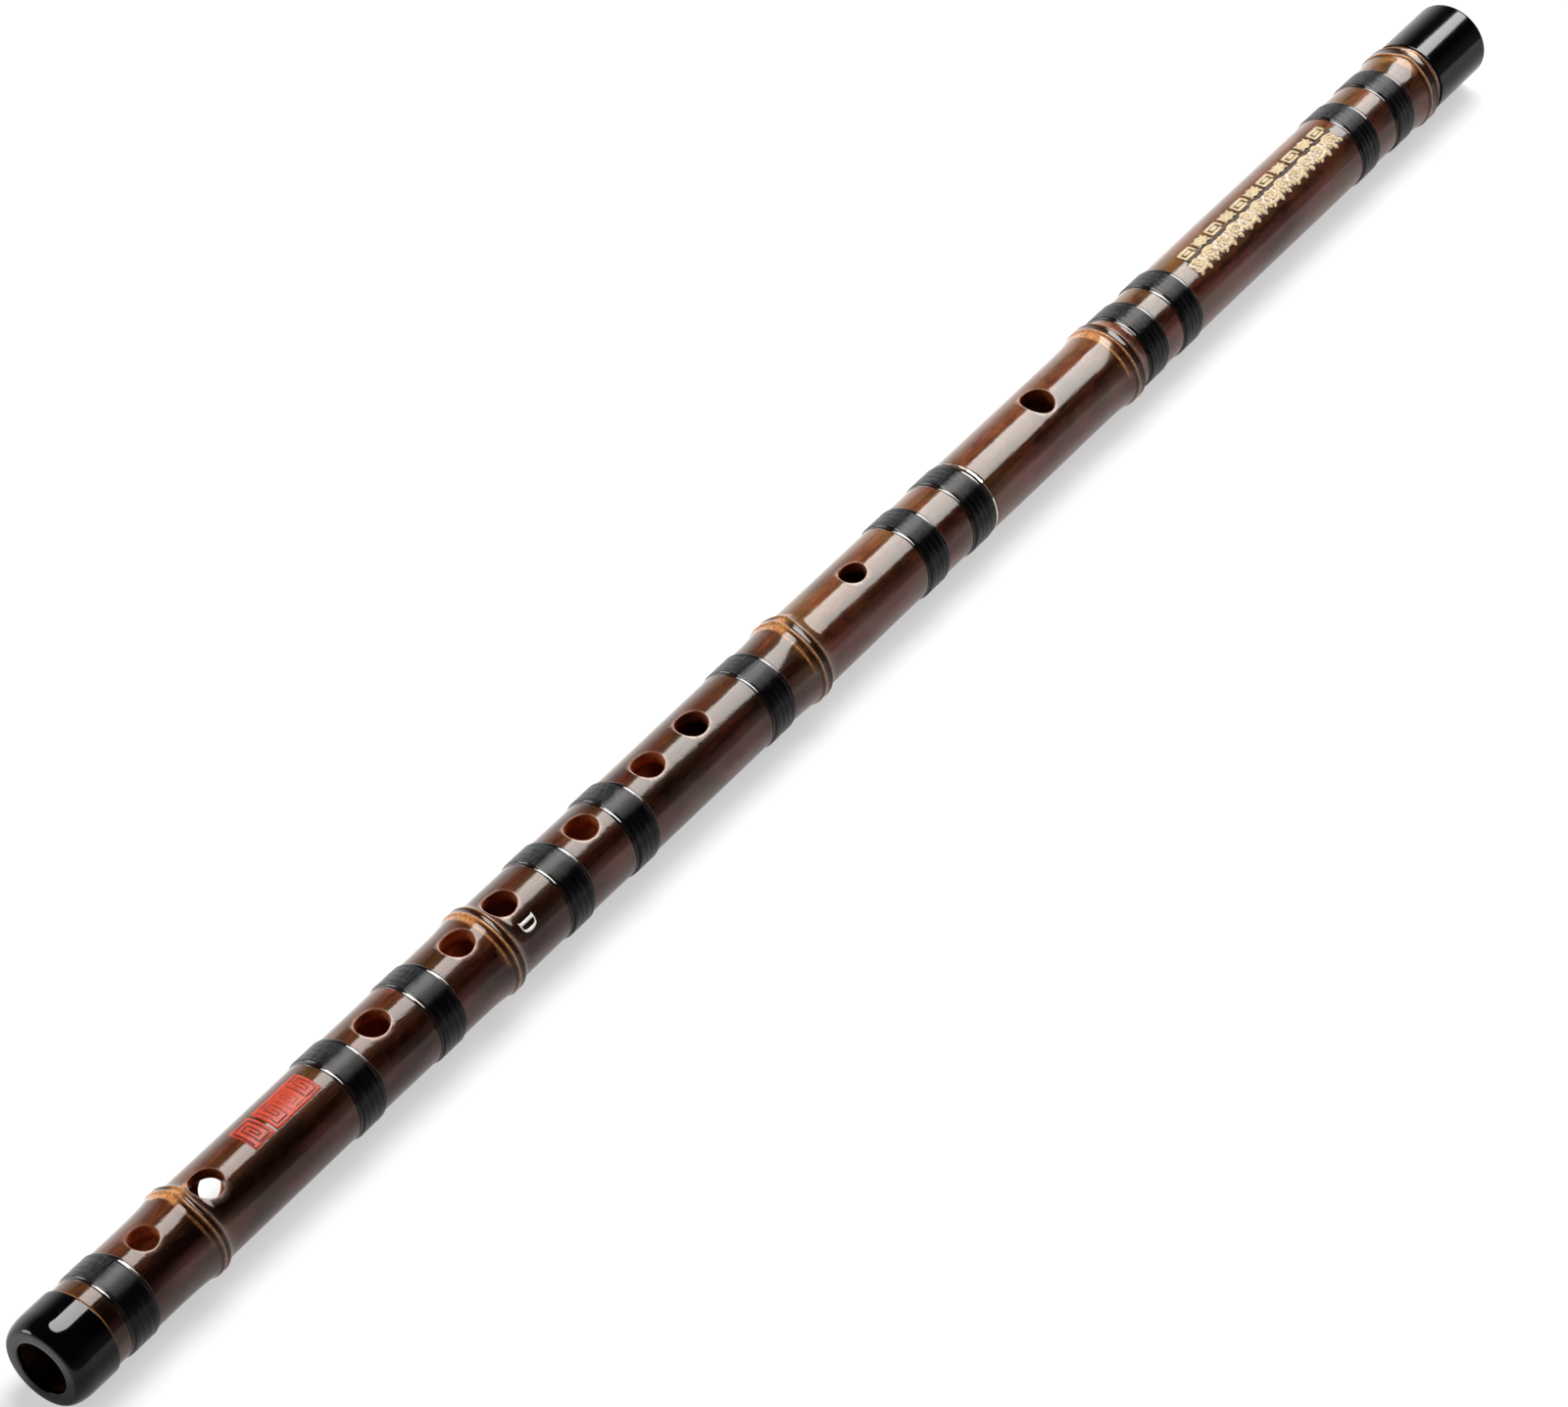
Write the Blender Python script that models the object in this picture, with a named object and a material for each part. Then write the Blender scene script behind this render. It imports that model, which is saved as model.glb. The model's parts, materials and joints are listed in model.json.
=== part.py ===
"""A two-section dizi, the Chinese transverse bamboo flute, lying with its holes up.

The flute lies along X, with the open foot end at -X and the closed head end at +X, and rests
on the lowest points of its bamboo nodes. Each place along the flute is counted from the foot
end. An angle round the flute is counted from straight up, and is positive towards -Y.
"""
import math
from collections import namedtuple

import bmesh
import bpy
from mathutils import Matrix, Vector

MM = 0.001

# The whole flute
FLUTE_LENGTH = 664.0 * MM
TUBE_RADIUS = 12.0 * MM
BORE_RADIUS = 8.2 * MM
SEGMENTS = 28
GAP = 0.3 * MM
SHARP_ANGLE = math.radians(35)

# Bamboo nodes: two lips with a groove between them, a slow flare up to them on the foot side
# and a quick drop on the head side, each as (distance, rise) points
BODY_NODES = (53.2 * MM, 171.1 * MM, 307.6 * MM)
HEAD_NODES = (465.0 * MM, 633.4 * MM)
NODE_FOOT_FLARE = ((10.0 * MM, 0.0), (5.0 * MM, 0.30 * MM), (2.6 * MM, 0.75 * MM))
NODE_HEAD_DROP = ((2.2 * MM, 0.45 * MM), (4.5 * MM, 0.0))
NODE_LIP_OUTSIDE = 1.35 * MM
NODE_LIP_INSIDE = 0.45 * MM
NODE_LIP_RISE = 1.35 * MM
NODE_GROOVE_RISE = 0.95 * MM

# Thread bindings: the middle of each, numbered from the head
HEAD_BINDINGS = (616.2 * MM, 595.6 * MM, 494.2 * MM, 475.8 * MM)
BODY_BINDINGS = (
    384.6 * MM, 362.3 * MM, 288.1 * MM, 226.7 * MM,
    198.5 * MM, 143.9 * MM, 111.5 * MM, 24.4 * MM,
)
BINDING_WIDTH = 8.4 * MM
BINDING_RADIUS = 12.6 * MM
BINDING_ROUNDING = 0.25 * MM
SEAT_DEPTH = 0.4 * MM

# Foot cap, an open ring over the end of the tube
FOOT_CAP_LENGTH = 14.1 * MM
FOOT_CAP_RADIUS = 12.65 * MM
FOOT_CAP_ROUNDING_LENGTH = 6.0 * MM
FOOT_CAP_ROUNDING_DEPTH = 2.1 * MM
FOOT_CAP_LIP = 1.5 * MM
FOOT_CAP_MOUTH_RADIUS = 7.6 * MM
SPIGOT_RADIUS = 10.2 * MM
CAP_EDGE_BREAK = 0.3 * MM

# Head cap, closed at the end
HEAD_CAP_LENGTH = 26.8 * MM
HEAD_CAP_RADIUS = 12.5 * MM
HEAD_CAP_ROUNDING = 1.2 * MM
HEAD_CAP_WALL = 2.7 * MM

# Joint between the sections: a brass tenon in a brass-lined socket, with a thin ring between
BODY_TUBE_END = 390.2 * MM
RING_THICKNESS = 0.6 * MM
RING_RADIUS = 12.2 * MM
TENON_RADIUS = 9.0 * MM
TENON_IN_SOCKET = 25.7 * MM
TENON_IN_HEAD = 20.6 * MM
RUNNING_CLEARANCE = 0.035 * MM
LINER_RADIUS = 9.6 * MM
LINER_LENGTH = 26.0 * MM

# Cork stopper in the head's bore
STOPPER_START = 437.0 * MM
STOPPER_LENGTH = 16.0 * MM
STOPPER_RADIUS = 8.1 * MM
STOPPER_EDGE_BREAK = 0.6 * MM

# Holes: name, place, length along the flute, width across it, angle round it
MOUTH_HOLE = ("mouth_hole", 427.6 * MM, 10.4 * MM, 10.0 * MM, 0.0)
FINGER_HOLE_PLACES = (261.8 * MM, 242.3 * MM, 213.2 * MM, 178.5 * MM, 160.8 * MM, 126.3 * MM)
FINGER_HOLE_LENGTH = 10.3 * MM
FINGER_HOLE_WIDTH = 9.2 * MM
VENT_ANGLE = math.radians(4.5)
BACK_VENT_ANGLE = math.radians(-119.5)
OTHER_BODY_HOLES = (
    ("membrane_hole", 336.6 * MM, 9.2 * MM, 7.7 * MM, 0.0),
    ("front_vent_1", 60.9 * MM, 10.4 * MM, 10.2 * MM, VENT_ANGLE),
    ("front_vent_2", 38.2 * MM, 8.6 * MM, 8.4 * MM, 0.0),
    ("back_vent_1", 90.0 * MM, 9.4 * MM, 9.4 * MM, BACK_VENT_ANGLE),
    ("back_vent_2", 72.0 * MM, 10.8 * MM, 10.4 * MM, BACK_VENT_ANGLE),
)
HOLE_SEGMENTS = 20
CUTTER_INNER_RADIUS = 3.0 * MM
CUTTER_OUTER_RADIUS = 16.0 * MM

# Colours, as linear red, green and blue
BAMBOO = (0.115, 0.042, 0.022)
BLACK_RESIN = (0.008, 0.008, 0.010)
BLACK_THREAD = (0.014, 0.016, 0.016)
NICKEL_SILVER = (0.66, 0.62, 0.55)
BRASS = (0.72, 0.49, 0.18)
CORK = (0.42, 0.25, 0.12)

# Derived places
FACET_FLATNESS = math.cos(math.pi / SEGMENTS)
AXIS_HEIGHT = (TUBE_RADIUS + NODE_LIP_RISE) * FACET_FLATNESS
RING_START = BODY_TUBE_END + GAP
HEAD_TUBE_START = RING_START + RING_THICKNESS + GAP
HEAD_TUBE_END = FLUTE_LENGTH - HEAD_CAP_WALL - GAP
HEAD_CAP_START = FLUTE_LENGTH - HEAD_CAP_LENGTH
BODY_TUBE_START = FOOT_CAP_LIP + GAP
LINER_BORE_RADIUS = (TENON_RADIUS + RUNNING_CLEARANCE) / FACET_FLATNESS

# A carrier empty on the flute's axis, and its place along the flute
Section = namedtuple("Section", ("carrier", "place"))


def clear_scene():
    """Remove whatever the file holds before the flute is made."""
    for item in list(bpy.data.objects):
        bpy.data.objects.remove(item, do_unlink=True)


def make_material(name, colour, roughness, metallic):
    """A Principled material of one colour."""
    material = bpy.data.materials.new(name)
    material.use_nodes = True
    shader = material.node_tree.nodes["Principled BSDF"]
    shader.inputs["Base Color"].default_value = (*colour, 1.0)
    shader.inputs["Roughness"].default_value = roughness
    shader.inputs["Metallic"].default_value = metallic
    material.diffuse_color = (*colour, 1.0)
    return material


def make_section(name, place, carried_by=None):
    """The carrier of one section. The first one also lifts the axis and centres the flute."""
    carrier = bpy.data.objects.new(name, None)
    bpy.context.scene.collection.objects.link(carrier)
    if carried_by is None:
        carrier.location = (-FLUTE_LENGTH / 2 + place, 0, AXIS_HEIGHT)
    else:
        carrier.parent = carried_by.carrier
        carrier.location = (place - carried_by.place, 0, 0)
    return Section(carrier, place)


def add_piece(work, name, section, place):
    """Turn a bmesh into a smooth shaded object under its section's carrier."""
    bmesh.ops.recalc_face_normals(work, faces=work.faces)
    mesh = bpy.data.meshes.new(name)
    work.to_mesh(mesh)
    work.free()
    mesh.shade_smooth()
    mesh.set_sharp_from_angle(angle=SHARP_ANGLE)
    piece = bpy.data.objects.new(name, mesh)
    bpy.context.scene.collection.objects.link(piece)
    piece.parent = section.carrier
    piece.location = (place - section.place, 0, 0)
    return piece


def turn(name, profile, section, material, closed=True):
    """Turn (place, radius) points about the flute's axis.

    A closed profile makes a ring or a tube. An open one starts and ends on the axis and makes
    a solid end. A facet, not an edge, faces straight down, so that the piece rests on it.
    """
    start = min(place for place, radius in profile)
    lean = math.pi / SEGMENTS
    work = bmesh.new()
    points = []
    for place, radius in profile:
        points.append(work.verts.new((place - start, radius * math.sin(lean), radius * math.cos(lean))))
    edges = []
    for first, second in zip(points, points[1:]):
        edges.append(work.edges.new((first, second)))
    if closed:
        edges.append(work.edges.new((points[-1], points[0])))
    bmesh.ops.spin(
        work, geom=points + edges, cent=(0, 0, 0), axis=(1, 0, 0),
        angle=2 * math.pi, steps=SEGMENTS, use_merge=True,
    )
    bmesh.ops.remove_doubles(work, verts=work.verts, dist=0.001 * MM)
    piece = add_piece(work, name, section, start)
    piece.data.materials.append(material)
    return piece


def arc(centre, radius, first, last, steps):
    """Points of a round corner, as (place, radius from the axis)."""
    points = []
    for step in range(steps + 1):
        angle = first + (last - first) * step / steps
        points.append((centre[0] + radius * math.cos(angle), centre[1] + radius * math.sin(angle)))
    return points


def node_profile(place):
    """The outline of one bamboo node, from its foot side to its head side."""
    lips = ((NODE_LIP_OUTSIDE, NODE_LIP_RISE), (NODE_LIP_INSIDE, NODE_LIP_RISE))
    outline = [(-away, rise) for away, rise in NODE_FOOT_FLARE + lips]
    outline.append((0.0, NODE_GROOVE_RISE))
    outline += [(away, rise) for away, rise in lips[::-1] + NODE_HEAD_DROP]
    return [(place + away, TUBE_RADIUS + rise) for away, rise in outline]


def seat_profile(middle):
    """The outline of the shallow seat that a binding is wound in."""
    reach = BINDING_WIDTH / 2 + GAP
    floor = TUBE_RADIUS - SEAT_DEPTH
    return [
        (middle - reach, TUBE_RADIUS),
        (middle - reach, floor),
        (middle + reach, floor),
        (middle + reach, TUBE_RADIUS),
    ]


def outside_profile(nodes, bindings, end):
    """The outside of a tube up to its end, with its nodes and binding seats in order."""
    features = [(place, node_profile(place)) for place in nodes]
    features += [(middle, seat_profile(middle)) for middle in bindings]
    outline = []
    for _, points in sorted(features):
        outline += [point for point in points if point[0] < end]
    outline.append((end, TUBE_RADIUS))
    return outline


def cut_hole(tube, section, hole):
    """Cut one oval hole through the tube's wall on one side."""
    name, place, length, width, angle = hole
    work = bmesh.new()
    lift = (CUTTER_OUTER_RADIUS + CUTTER_INNER_RADIUS) / 2
    stretch = Matrix.Diagonal(Vector((length / 2, width / 2, 1.0, 1.0)))
    bmesh.ops.create_cone(
        work, cap_ends=True, segments=HOLE_SEGMENTS, radius1=1.0, radius2=1.0,
        depth=CUTTER_OUTER_RADIUS - CUTTER_INNER_RADIUS,
        matrix=Matrix.Translation((0, 0, lift)) @ stretch,
    )
    cutter = add_piece(work, name + "_cutter", section, place)
    cutter.rotation_euler = (angle, 0, 0)
    cutter.hide_render = True
    cutter.display_type = "WIRE"
    cut = tube.modifiers.new(name, "BOOLEAN")
    cut.operation = "DIFFERENCE"
    cut.object = cutter


def make_body_tube(section, material):
    """The body's bamboo tube: a spigot for the foot cap at one end, the socket at the other."""
    socket_radius = LINER_RADIUS + GAP
    socket_floor = BODY_TUBE_END - LINER_LENGTH - GAP
    shoulder = FOOT_CAP_LENGTH + GAP
    outline = [
        (BODY_TUBE_START, BORE_RADIUS),
        (BODY_TUBE_START, SPIGOT_RADIUS),
        (shoulder, SPIGOT_RADIUS),
        (shoulder, TUBE_RADIUS),
    ]
    outline += outside_profile(BODY_NODES, BODY_BINDINGS, BODY_TUBE_END)
    outline += [
        (BODY_TUBE_END, socket_radius),
        (socket_floor, socket_radius),
        (socket_floor, BORE_RADIUS),
    ]
    tube = turn("body_tube", outline, section, material)
    for number, place in enumerate(FINGER_HOLE_PLACES, 1):
        hole = (f"finger_hole_{number}", place, FINGER_HOLE_LENGTH, FINGER_HOLE_WIDTH, 0.0)
        cut_hole(tube, section, hole)
    for hole in OTHER_BODY_HOLES:
        cut_hole(tube, section, hole)


def make_head_tube(section, material):
    """The head's bamboo tube: bored for the tenon at one end, a spigot for its cap at the other."""
    tenon_seat_radius = TENON_RADIUS + GAP
    tenon_seat_end = HEAD_TUBE_START + TENON_IN_HEAD + GAP
    shoulder = HEAD_CAP_START - GAP
    outline = [
        (tenon_seat_end, BORE_RADIUS),
        (tenon_seat_end, tenon_seat_radius),
        (HEAD_TUBE_START, tenon_seat_radius),
        (HEAD_TUBE_START, TUBE_RADIUS),
    ]
    outline += outside_profile(HEAD_NODES, HEAD_BINDINGS, shoulder)
    outline += [
        (shoulder, SPIGOT_RADIUS),
        (HEAD_TUBE_END, SPIGOT_RADIUS),
        (HEAD_TUBE_END, BORE_RADIUS),
    ]
    tube = turn("head_tube", outline, section, material)
    cut_hole(tube, section, MOUTH_HOLE)


def make_binding(number, middle, section, material):
    """One thread winding: a band with rounded shoulders that stands proud of the bamboo."""
    start = middle - BINDING_WIDTH / 2
    end = middle + BINDING_WIDTH / 2
    inside = TUBE_RADIUS - SEAT_DEPTH + GAP
    shoulder = BINDING_RADIUS - BINDING_ROUNDING
    outline = [
        (start, inside),
        (start, shoulder),
        (start + BINDING_ROUNDING, BINDING_RADIUS),
        (end - BINDING_ROUNDING, BINDING_RADIUS),
        (end, shoulder),
        (end, inside),
    ]
    turn(f"binding_{number:02d}", outline, section, material)


def make_foot_cap(section, material):
    """The open ring on the foot end, with a well rounded rim."""
    inside = SPIGOT_RADIUS + GAP
    outline = [
        (FOOT_CAP_LENGTH, inside),
        (FOOT_CAP_LENGTH, FOOT_CAP_RADIUS - CAP_EDGE_BREAK),
        (FOOT_CAP_LENGTH - CAP_EDGE_BREAK, FOOT_CAP_RADIUS),
    ]
    for step in range(7):
        angle = math.pi / 2 * step / 6
        place = FOOT_CAP_ROUNDING_LENGTH * (1 - math.sin(angle))
        drop = FOOT_CAP_ROUNDING_DEPTH * (1 - math.cos(angle))
        outline.append((place, FOOT_CAP_RADIUS - drop))
    outline += [
        (0.0, FOOT_CAP_MOUTH_RADIUS + CAP_EDGE_BREAK),
        (CAP_EDGE_BREAK, FOOT_CAP_MOUTH_RADIUS),
        (FOOT_CAP_LIP, FOOT_CAP_MOUTH_RADIUS),
        (FOOT_CAP_LIP, inside),
    ]
    turn("foot_cap", outline, section, material)


def make_head_cap(section, material):
    """The closed cap on the head end."""
    inside = SPIGOT_RADIUS + GAP
    end_wall = FLUTE_LENGTH - HEAD_CAP_WALL
    rim_centre = (FLUTE_LENGTH - HEAD_CAP_ROUNDING, HEAD_CAP_RADIUS - HEAD_CAP_ROUNDING)
    outline = [
        (end_wall, 0.0),
        (end_wall, inside),
        (HEAD_CAP_START, inside),
        (HEAD_CAP_START, HEAD_CAP_RADIUS - CAP_EDGE_BREAK),
        (HEAD_CAP_START + CAP_EDGE_BREAK, HEAD_CAP_RADIUS),
    ]
    outline += arc(rim_centre, HEAD_CAP_ROUNDING, math.pi / 2, 0.0, 3)
    outline.append((FLUTE_LENGTH, 0.0))
    turn("head_cap", outline, section, material, closed=False)


def make_socket_liner(section, material):
    """The brass tube glued in the body's socket, in which the tenon slides and turns."""
    start = BODY_TUBE_END - LINER_LENGTH
    outline = [
        (start, LINER_BORE_RADIUS),
        (start, LINER_RADIUS),
        (BODY_TUBE_END, LINER_RADIUS),
        (BODY_TUBE_END, LINER_BORE_RADIUS),
    ]
    turn("socket_liner", outline, section, material)


def make_tenon(section, material):
    """The brass tube glued in the head's bore, whose free end plugs into the socket."""
    start = BODY_TUBE_END - TENON_IN_SOCKET
    end = HEAD_TUBE_START + TENON_IN_HEAD
    outline = [
        (start, BORE_RADIUS),
        (start, TENON_RADIUS - CAP_EDGE_BREAK),
        (start + CAP_EDGE_BREAK, TENON_RADIUS),
        (end, TENON_RADIUS),
        (end, BORE_RADIUS),
    ]
    turn("tenon", outline, section, material)


def make_joint_ring(section, material):
    """The thin ring that shows as a pale line between the two sections."""
    inside = TENON_RADIUS + GAP
    end = RING_START + RING_THICKNESS
    outline = [
        (RING_START, inside),
        (RING_START, RING_RADIUS),
        (end, RING_RADIUS),
        (end, inside),
    ]
    turn("joint_ring", outline, section, material)


def make_stopper(section, material):
    """The cork that closes the bore beside the mouth hole."""
    end = STOPPER_START + STOPPER_LENGTH
    outline = [
        (STOPPER_START, 0.0),
        (STOPPER_START, STOPPER_RADIUS - STOPPER_EDGE_BREAK),
        (STOPPER_START + STOPPER_EDGE_BREAK, STOPPER_RADIUS),
        (end - STOPPER_EDGE_BREAK, STOPPER_RADIUS),
        (end, STOPPER_RADIUS - STOPPER_EDGE_BREAK),
        (end, 0.0),
    ]
    turn("stopper", outline, section, material, closed=False)


def build_flute():
    """Make every piece under the carrier of its section."""
    clear_scene()
    bamboo = make_material("lacquered_bamboo", BAMBOO, 0.22, 0.0)
    resin = make_material("black_resin", BLACK_RESIN, 0.12, 0.0)
    thread = make_material("black_thread", BLACK_THREAD, 0.35, 0.0)
    nickel = make_material("nickel_silver", NICKEL_SILVER, 0.25, 1.0)
    brass = make_material("brass", BRASS, 0.25, 1.0)
    cork = make_material("cork", CORK, 0.85, 0.0)

    body = make_section("body_section", 0.0)
    joint = make_section("joint_section", RING_START, body)
    head = make_section("head_section", HEAD_TUBE_START, joint)
    plug = make_section("stopper_section", STOPPER_START, head)

    make_body_tube(body, bamboo)
    make_foot_cap(body, resin)
    make_socket_liner(body, brass)
    make_joint_ring(joint, nickel)
    make_head_tube(head, bamboo)
    make_tenon(head, brass)
    make_head_cap(head, resin)
    make_stopper(plug, cork)
    for number, middle in enumerate(HEAD_BINDINGS, 1):
        make_binding(number, middle, head, thread)
    for number, middle in enumerate(BODY_BINDINGS, 1 + len(HEAD_BINDINGS)):
        make_binding(number, middle, body, thread)


build_flute()
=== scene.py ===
import json
import math

import bmesh
import bpy
from mathutils import Matrix, Vector


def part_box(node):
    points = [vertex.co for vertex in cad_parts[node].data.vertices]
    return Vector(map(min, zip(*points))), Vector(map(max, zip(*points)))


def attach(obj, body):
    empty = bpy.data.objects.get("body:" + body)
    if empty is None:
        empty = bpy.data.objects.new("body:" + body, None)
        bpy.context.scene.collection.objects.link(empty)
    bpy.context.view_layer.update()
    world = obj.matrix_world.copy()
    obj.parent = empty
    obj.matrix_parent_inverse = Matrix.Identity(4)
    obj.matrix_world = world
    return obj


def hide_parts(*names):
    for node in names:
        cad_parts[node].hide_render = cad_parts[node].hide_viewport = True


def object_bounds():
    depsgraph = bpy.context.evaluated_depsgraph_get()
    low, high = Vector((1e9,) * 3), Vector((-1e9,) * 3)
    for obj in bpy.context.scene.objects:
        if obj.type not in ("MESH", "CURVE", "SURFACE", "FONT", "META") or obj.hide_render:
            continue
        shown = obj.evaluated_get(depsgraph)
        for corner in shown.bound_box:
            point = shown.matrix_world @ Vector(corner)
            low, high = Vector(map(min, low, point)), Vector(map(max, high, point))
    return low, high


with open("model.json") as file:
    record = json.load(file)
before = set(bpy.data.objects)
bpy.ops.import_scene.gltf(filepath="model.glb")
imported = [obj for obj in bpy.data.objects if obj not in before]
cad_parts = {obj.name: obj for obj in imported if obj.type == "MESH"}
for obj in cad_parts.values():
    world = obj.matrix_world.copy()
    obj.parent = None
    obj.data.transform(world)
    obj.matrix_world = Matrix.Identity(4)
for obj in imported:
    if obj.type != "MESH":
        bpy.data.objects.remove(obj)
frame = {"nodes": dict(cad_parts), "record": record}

MM = 0.001
cad_low, cad_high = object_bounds()

# The flute's own sizes
TUBE_RADIUS = 12.0 * MM
BORE_RADIUS = 8.2 * MM
SPIGOT_RADIUS = 10.2 * MM
FOOT_X = cad_low.x
AXIS_HEIGHT = sum(corner.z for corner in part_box("tenon")) / 2
COLUMNS = 128
RING_ANGLES = [2 * math.pi * column / COLUMNS for column in range(COLUMNS)]
SOCKET_RADIUS = 9.7 * MM
TENON_SEAT_RADIUS = 9.1 * MM
EDGE_ROUNDING = 0.25 * MM
JOINT_EDGE = 0.2 * MM
CAP_GAP = 0.1 * MM
LINER_GAP = 0.3 * MM
TENON_GAP = 0.2 * MM

# The tubes' meshes: the longest steps along the outside and the bore, where the bore's painted shade
# near the foot's mouth fades out, the steps over a node, and how far from an end the culm's unevenness
# sets in
OUTSIDE_STEP = 2.4 * MM
BORE_STEP = 9 * MM
MOUTH_SHADE = (20 * MM, 40 * MM)
NODE_STEP = 0.25 * MM
NODE_STEPS = 24
END_FADE = 4 * MM

# Caps
FOOT_CAP_RADIUS = 12.65 * MM
FOOT_CAP_MOUTH = 7.6 * MM
FOOT_CAP_RIM = (6.0 * MM, 2.1 * MM)
FOOT_CAP_LIP = 1.5 * MM
HEAD_CAP_RADIUS = 12.5 * MM
HEAD_CAP_ROUNDING = 1.2 * MM
HEAD_CAP_WALL = 2.7 * MM
CAP_CLEARANCE = 0.2 * MM

# Bamboo nodes: their places, and how far their swelling and their lips stand proud
BODY_NODES = (53.2 * MM, 171.1 * MM, 307.6 * MM)
HEAD_NODES = (465.0 * MM, 633.4 * MM)
NODE_SWELLING = 0.88 * MM
NODE_FLARE_TO_FOOT = 5.0 * MM
NODE_FLARE_TO_HEAD = 2.4 * MM
NODE_LIP = 0.40 * MM
NODE_LIP_WIDTH = 0.52 * MM
NODE_HIGHEST = 1.23 * MM

# Holes. The head section is turned a little in the photograph, and its mouth hole with it. A rim
# is palest at one bearing round its hole, from wear and a painted highlight, and the nodes' lines are
# dimmest on one side, under painted shade.
FINGER_HOLE_SIZE = (10.3 * MM, 9.2 * MM)
MOUTH_HOLE_ANGLE = 0.03
FRONT_VENT_ANGLE = math.radians(4.5)
BACK_VENT_ANGLE = math.radians(-119.5)
RIM_ROUNDING = 0.34 * MM
RIM_MARGIN = 0.05 * MM
HOLE_CELL = 1.05 * MM
PALEST_RIM = math.radians(140)
SHADED_SIDE = math.radians(78)

# Windings
THREAD_PITCH = 0.4 * MM
THREAD_COLUMNS = 96
THREAD_ANGLES = [2 * math.pi * column / THREAD_COLUMNS for column in range(THREAD_COLUMNS)]
THREAD_CORE = TUBE_RADIUS - 0.15 * MM
THREAD_DEPTH = 0.05 * MM
THREAD_STEPS = 4
THREAD_LUMPS = 0.025 * MM
EDGE_WIDTH = 0.3 * MM
EDGE_DROP = 0.16 * MM
MERGE_DISTANCE = 0.0005 * MM

# A bead of lacquer: how far it runs in millimetres, and its outline as (part of that, height)
BEAD_RUN = 1.25
BEAD_PROFILE = (
    (0.0, 0.42), (0.07, 0.24), (0.16, 0.13), (0.26, 0.125), (0.38, 0.145), (0.52, 0.152),
    (0.66, 0.148), (0.78, 0.130), (0.90, 0.085), (1.0, 0.0), (1.0, -0.25), (-0.08, -0.25),
)

# Painted forms, in millimetres along and round the flute
LETTER_ALONG = (176.9, 182.3)
LETTER_ROUND = (7.5, 11.1)
SEALS_ALONG = ((76.4, 83.9), (84.7, 102.0))
SEALS_ROUND = (-5.6, 3.7)
ORNAMENT_START = 505.4
ORNAMENT_LENGTH = 81.0
ORNAMENT_STEPS = 160
ORNAMENT_ROUND = (1.75, 5.7)
ROW_START = 507.0
ROW_PITCH = 7.27
ROW_BLOCKS = 11
ROW_ROUND = (-3.05, 0.50)
WAVE_START = 505.6
WAVE_PITCH = 13.45
WAVES = 6
PATCH_STEPS = 14

# How high each layer of paint stands, and how deep its edges sink, in millimetres
LETTER_RISE = 0.05
SEAL_RISE = 0.04
SEAL_LINE_RISE = 0.055
SHADE_RISE = 0.012
GROUND_RISE = 0.030
DARK_LINE_RISE = 0.045
GOLD_RISE = 0.085
SINK = -0.06

# Camera, found from the photograph with the tube's radius as the scale
CAMERA_BEYOND_FOOT = 581.0 * MM
CAMERA_DISTANCE = 1157.2 * MM
CAMERA_ROUND = math.radians(31.5)
CAMERA_SWING = math.radians(37.17)
CAMERA_DROP = math.radians(0.273)
CAMERA_ROLL = math.radians(43.35)
CAMERA_LENS = 123.46
CAMERA_SENSOR = 36.0

# Light: the softbox's outline as slopes (x/z, y/z) from the flute, its glow from one side to the
# other, a weak lamp from behind the foot, and the world's fades as (from, to, value, value)
SOFTBOX_HEIGHT = 20.0
SOFTBOX_OUTLINE = (
    (0.15, 0.30), (0.16, 0.08), (0.30, -0.03), (0.48, -0.09), (0.58, -0.12), (0.66, -0.25),
    (0.75, -0.37), (0.83, -0.49), (0.92, -0.58), (1.02, -0.66), (1.09, -0.52), (1.15, -0.28),
    (1.17, 0.00), (1.13, 0.22), (1.07, 0.42), (0.96, 0.53), (0.86, 0.46), (0.78, 0.41),
    (0.70, 0.42), (0.65, 0.47), (0.60, 0.55), (0.45, 0.58), (0.30, 0.53),
)
SOFTBOX_SLOPES_Y = (-0.50, 0.60)
SOFTBOX_GLOW = (10.0, 12.8)
KICKER_ENERGY = 0.9
KICKER_SPREAD = math.radians(25)
KICKER_FROM = (-0.50, 0.83, 0.24)
WORLD_BY_HEIGHT = (0.0, 0.55, 1.0, 0.03)
WORLD_BY_SIDE = (-0.7, 0.3, 0.18, 1.0)
FLOOR_OWN_WHITE = 0.55
FLOOR_HALF = 12.0
FLOOR_DROP = 0.05 * MM
FLOOR_COLOUR = (0.93, 0.93, 0.93)
SOFTBOX_COLOUR = (1.0, 0.985, 0.965)


def on_axis(place):
    """The point on the flute's axis at a place."""
    return Vector((FOOT_X + place, 0, AXIS_HEIGHT))


def outward(angle):
    """The unit vector out of the flute's axis at an angle."""
    return Vector((0, -math.sin(angle), math.cos(angle)))


def sideways(angle):
    """The unit vector round the flute at an angle, the way that the angle grows."""
    return Vector((0, -math.cos(angle), -math.sin(angle)))


def on_flute(place, angle, radius):
    """The point at a place, angle and radius."""
    return on_axis(place) + outward(angle) * radius


def span(node):
    """The first and last place of a CAD node."""
    low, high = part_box(node)
    return low.x - FOOT_X, high.x - FOOT_X


def blend_in(value, start, end):
    """0 before start, 1 after end and a smooth rise between."""
    part = min(max((value - start) / (end - start), 0.0), 1.0)
    return part * part * (3 - 2 * part)


# Materials

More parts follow.
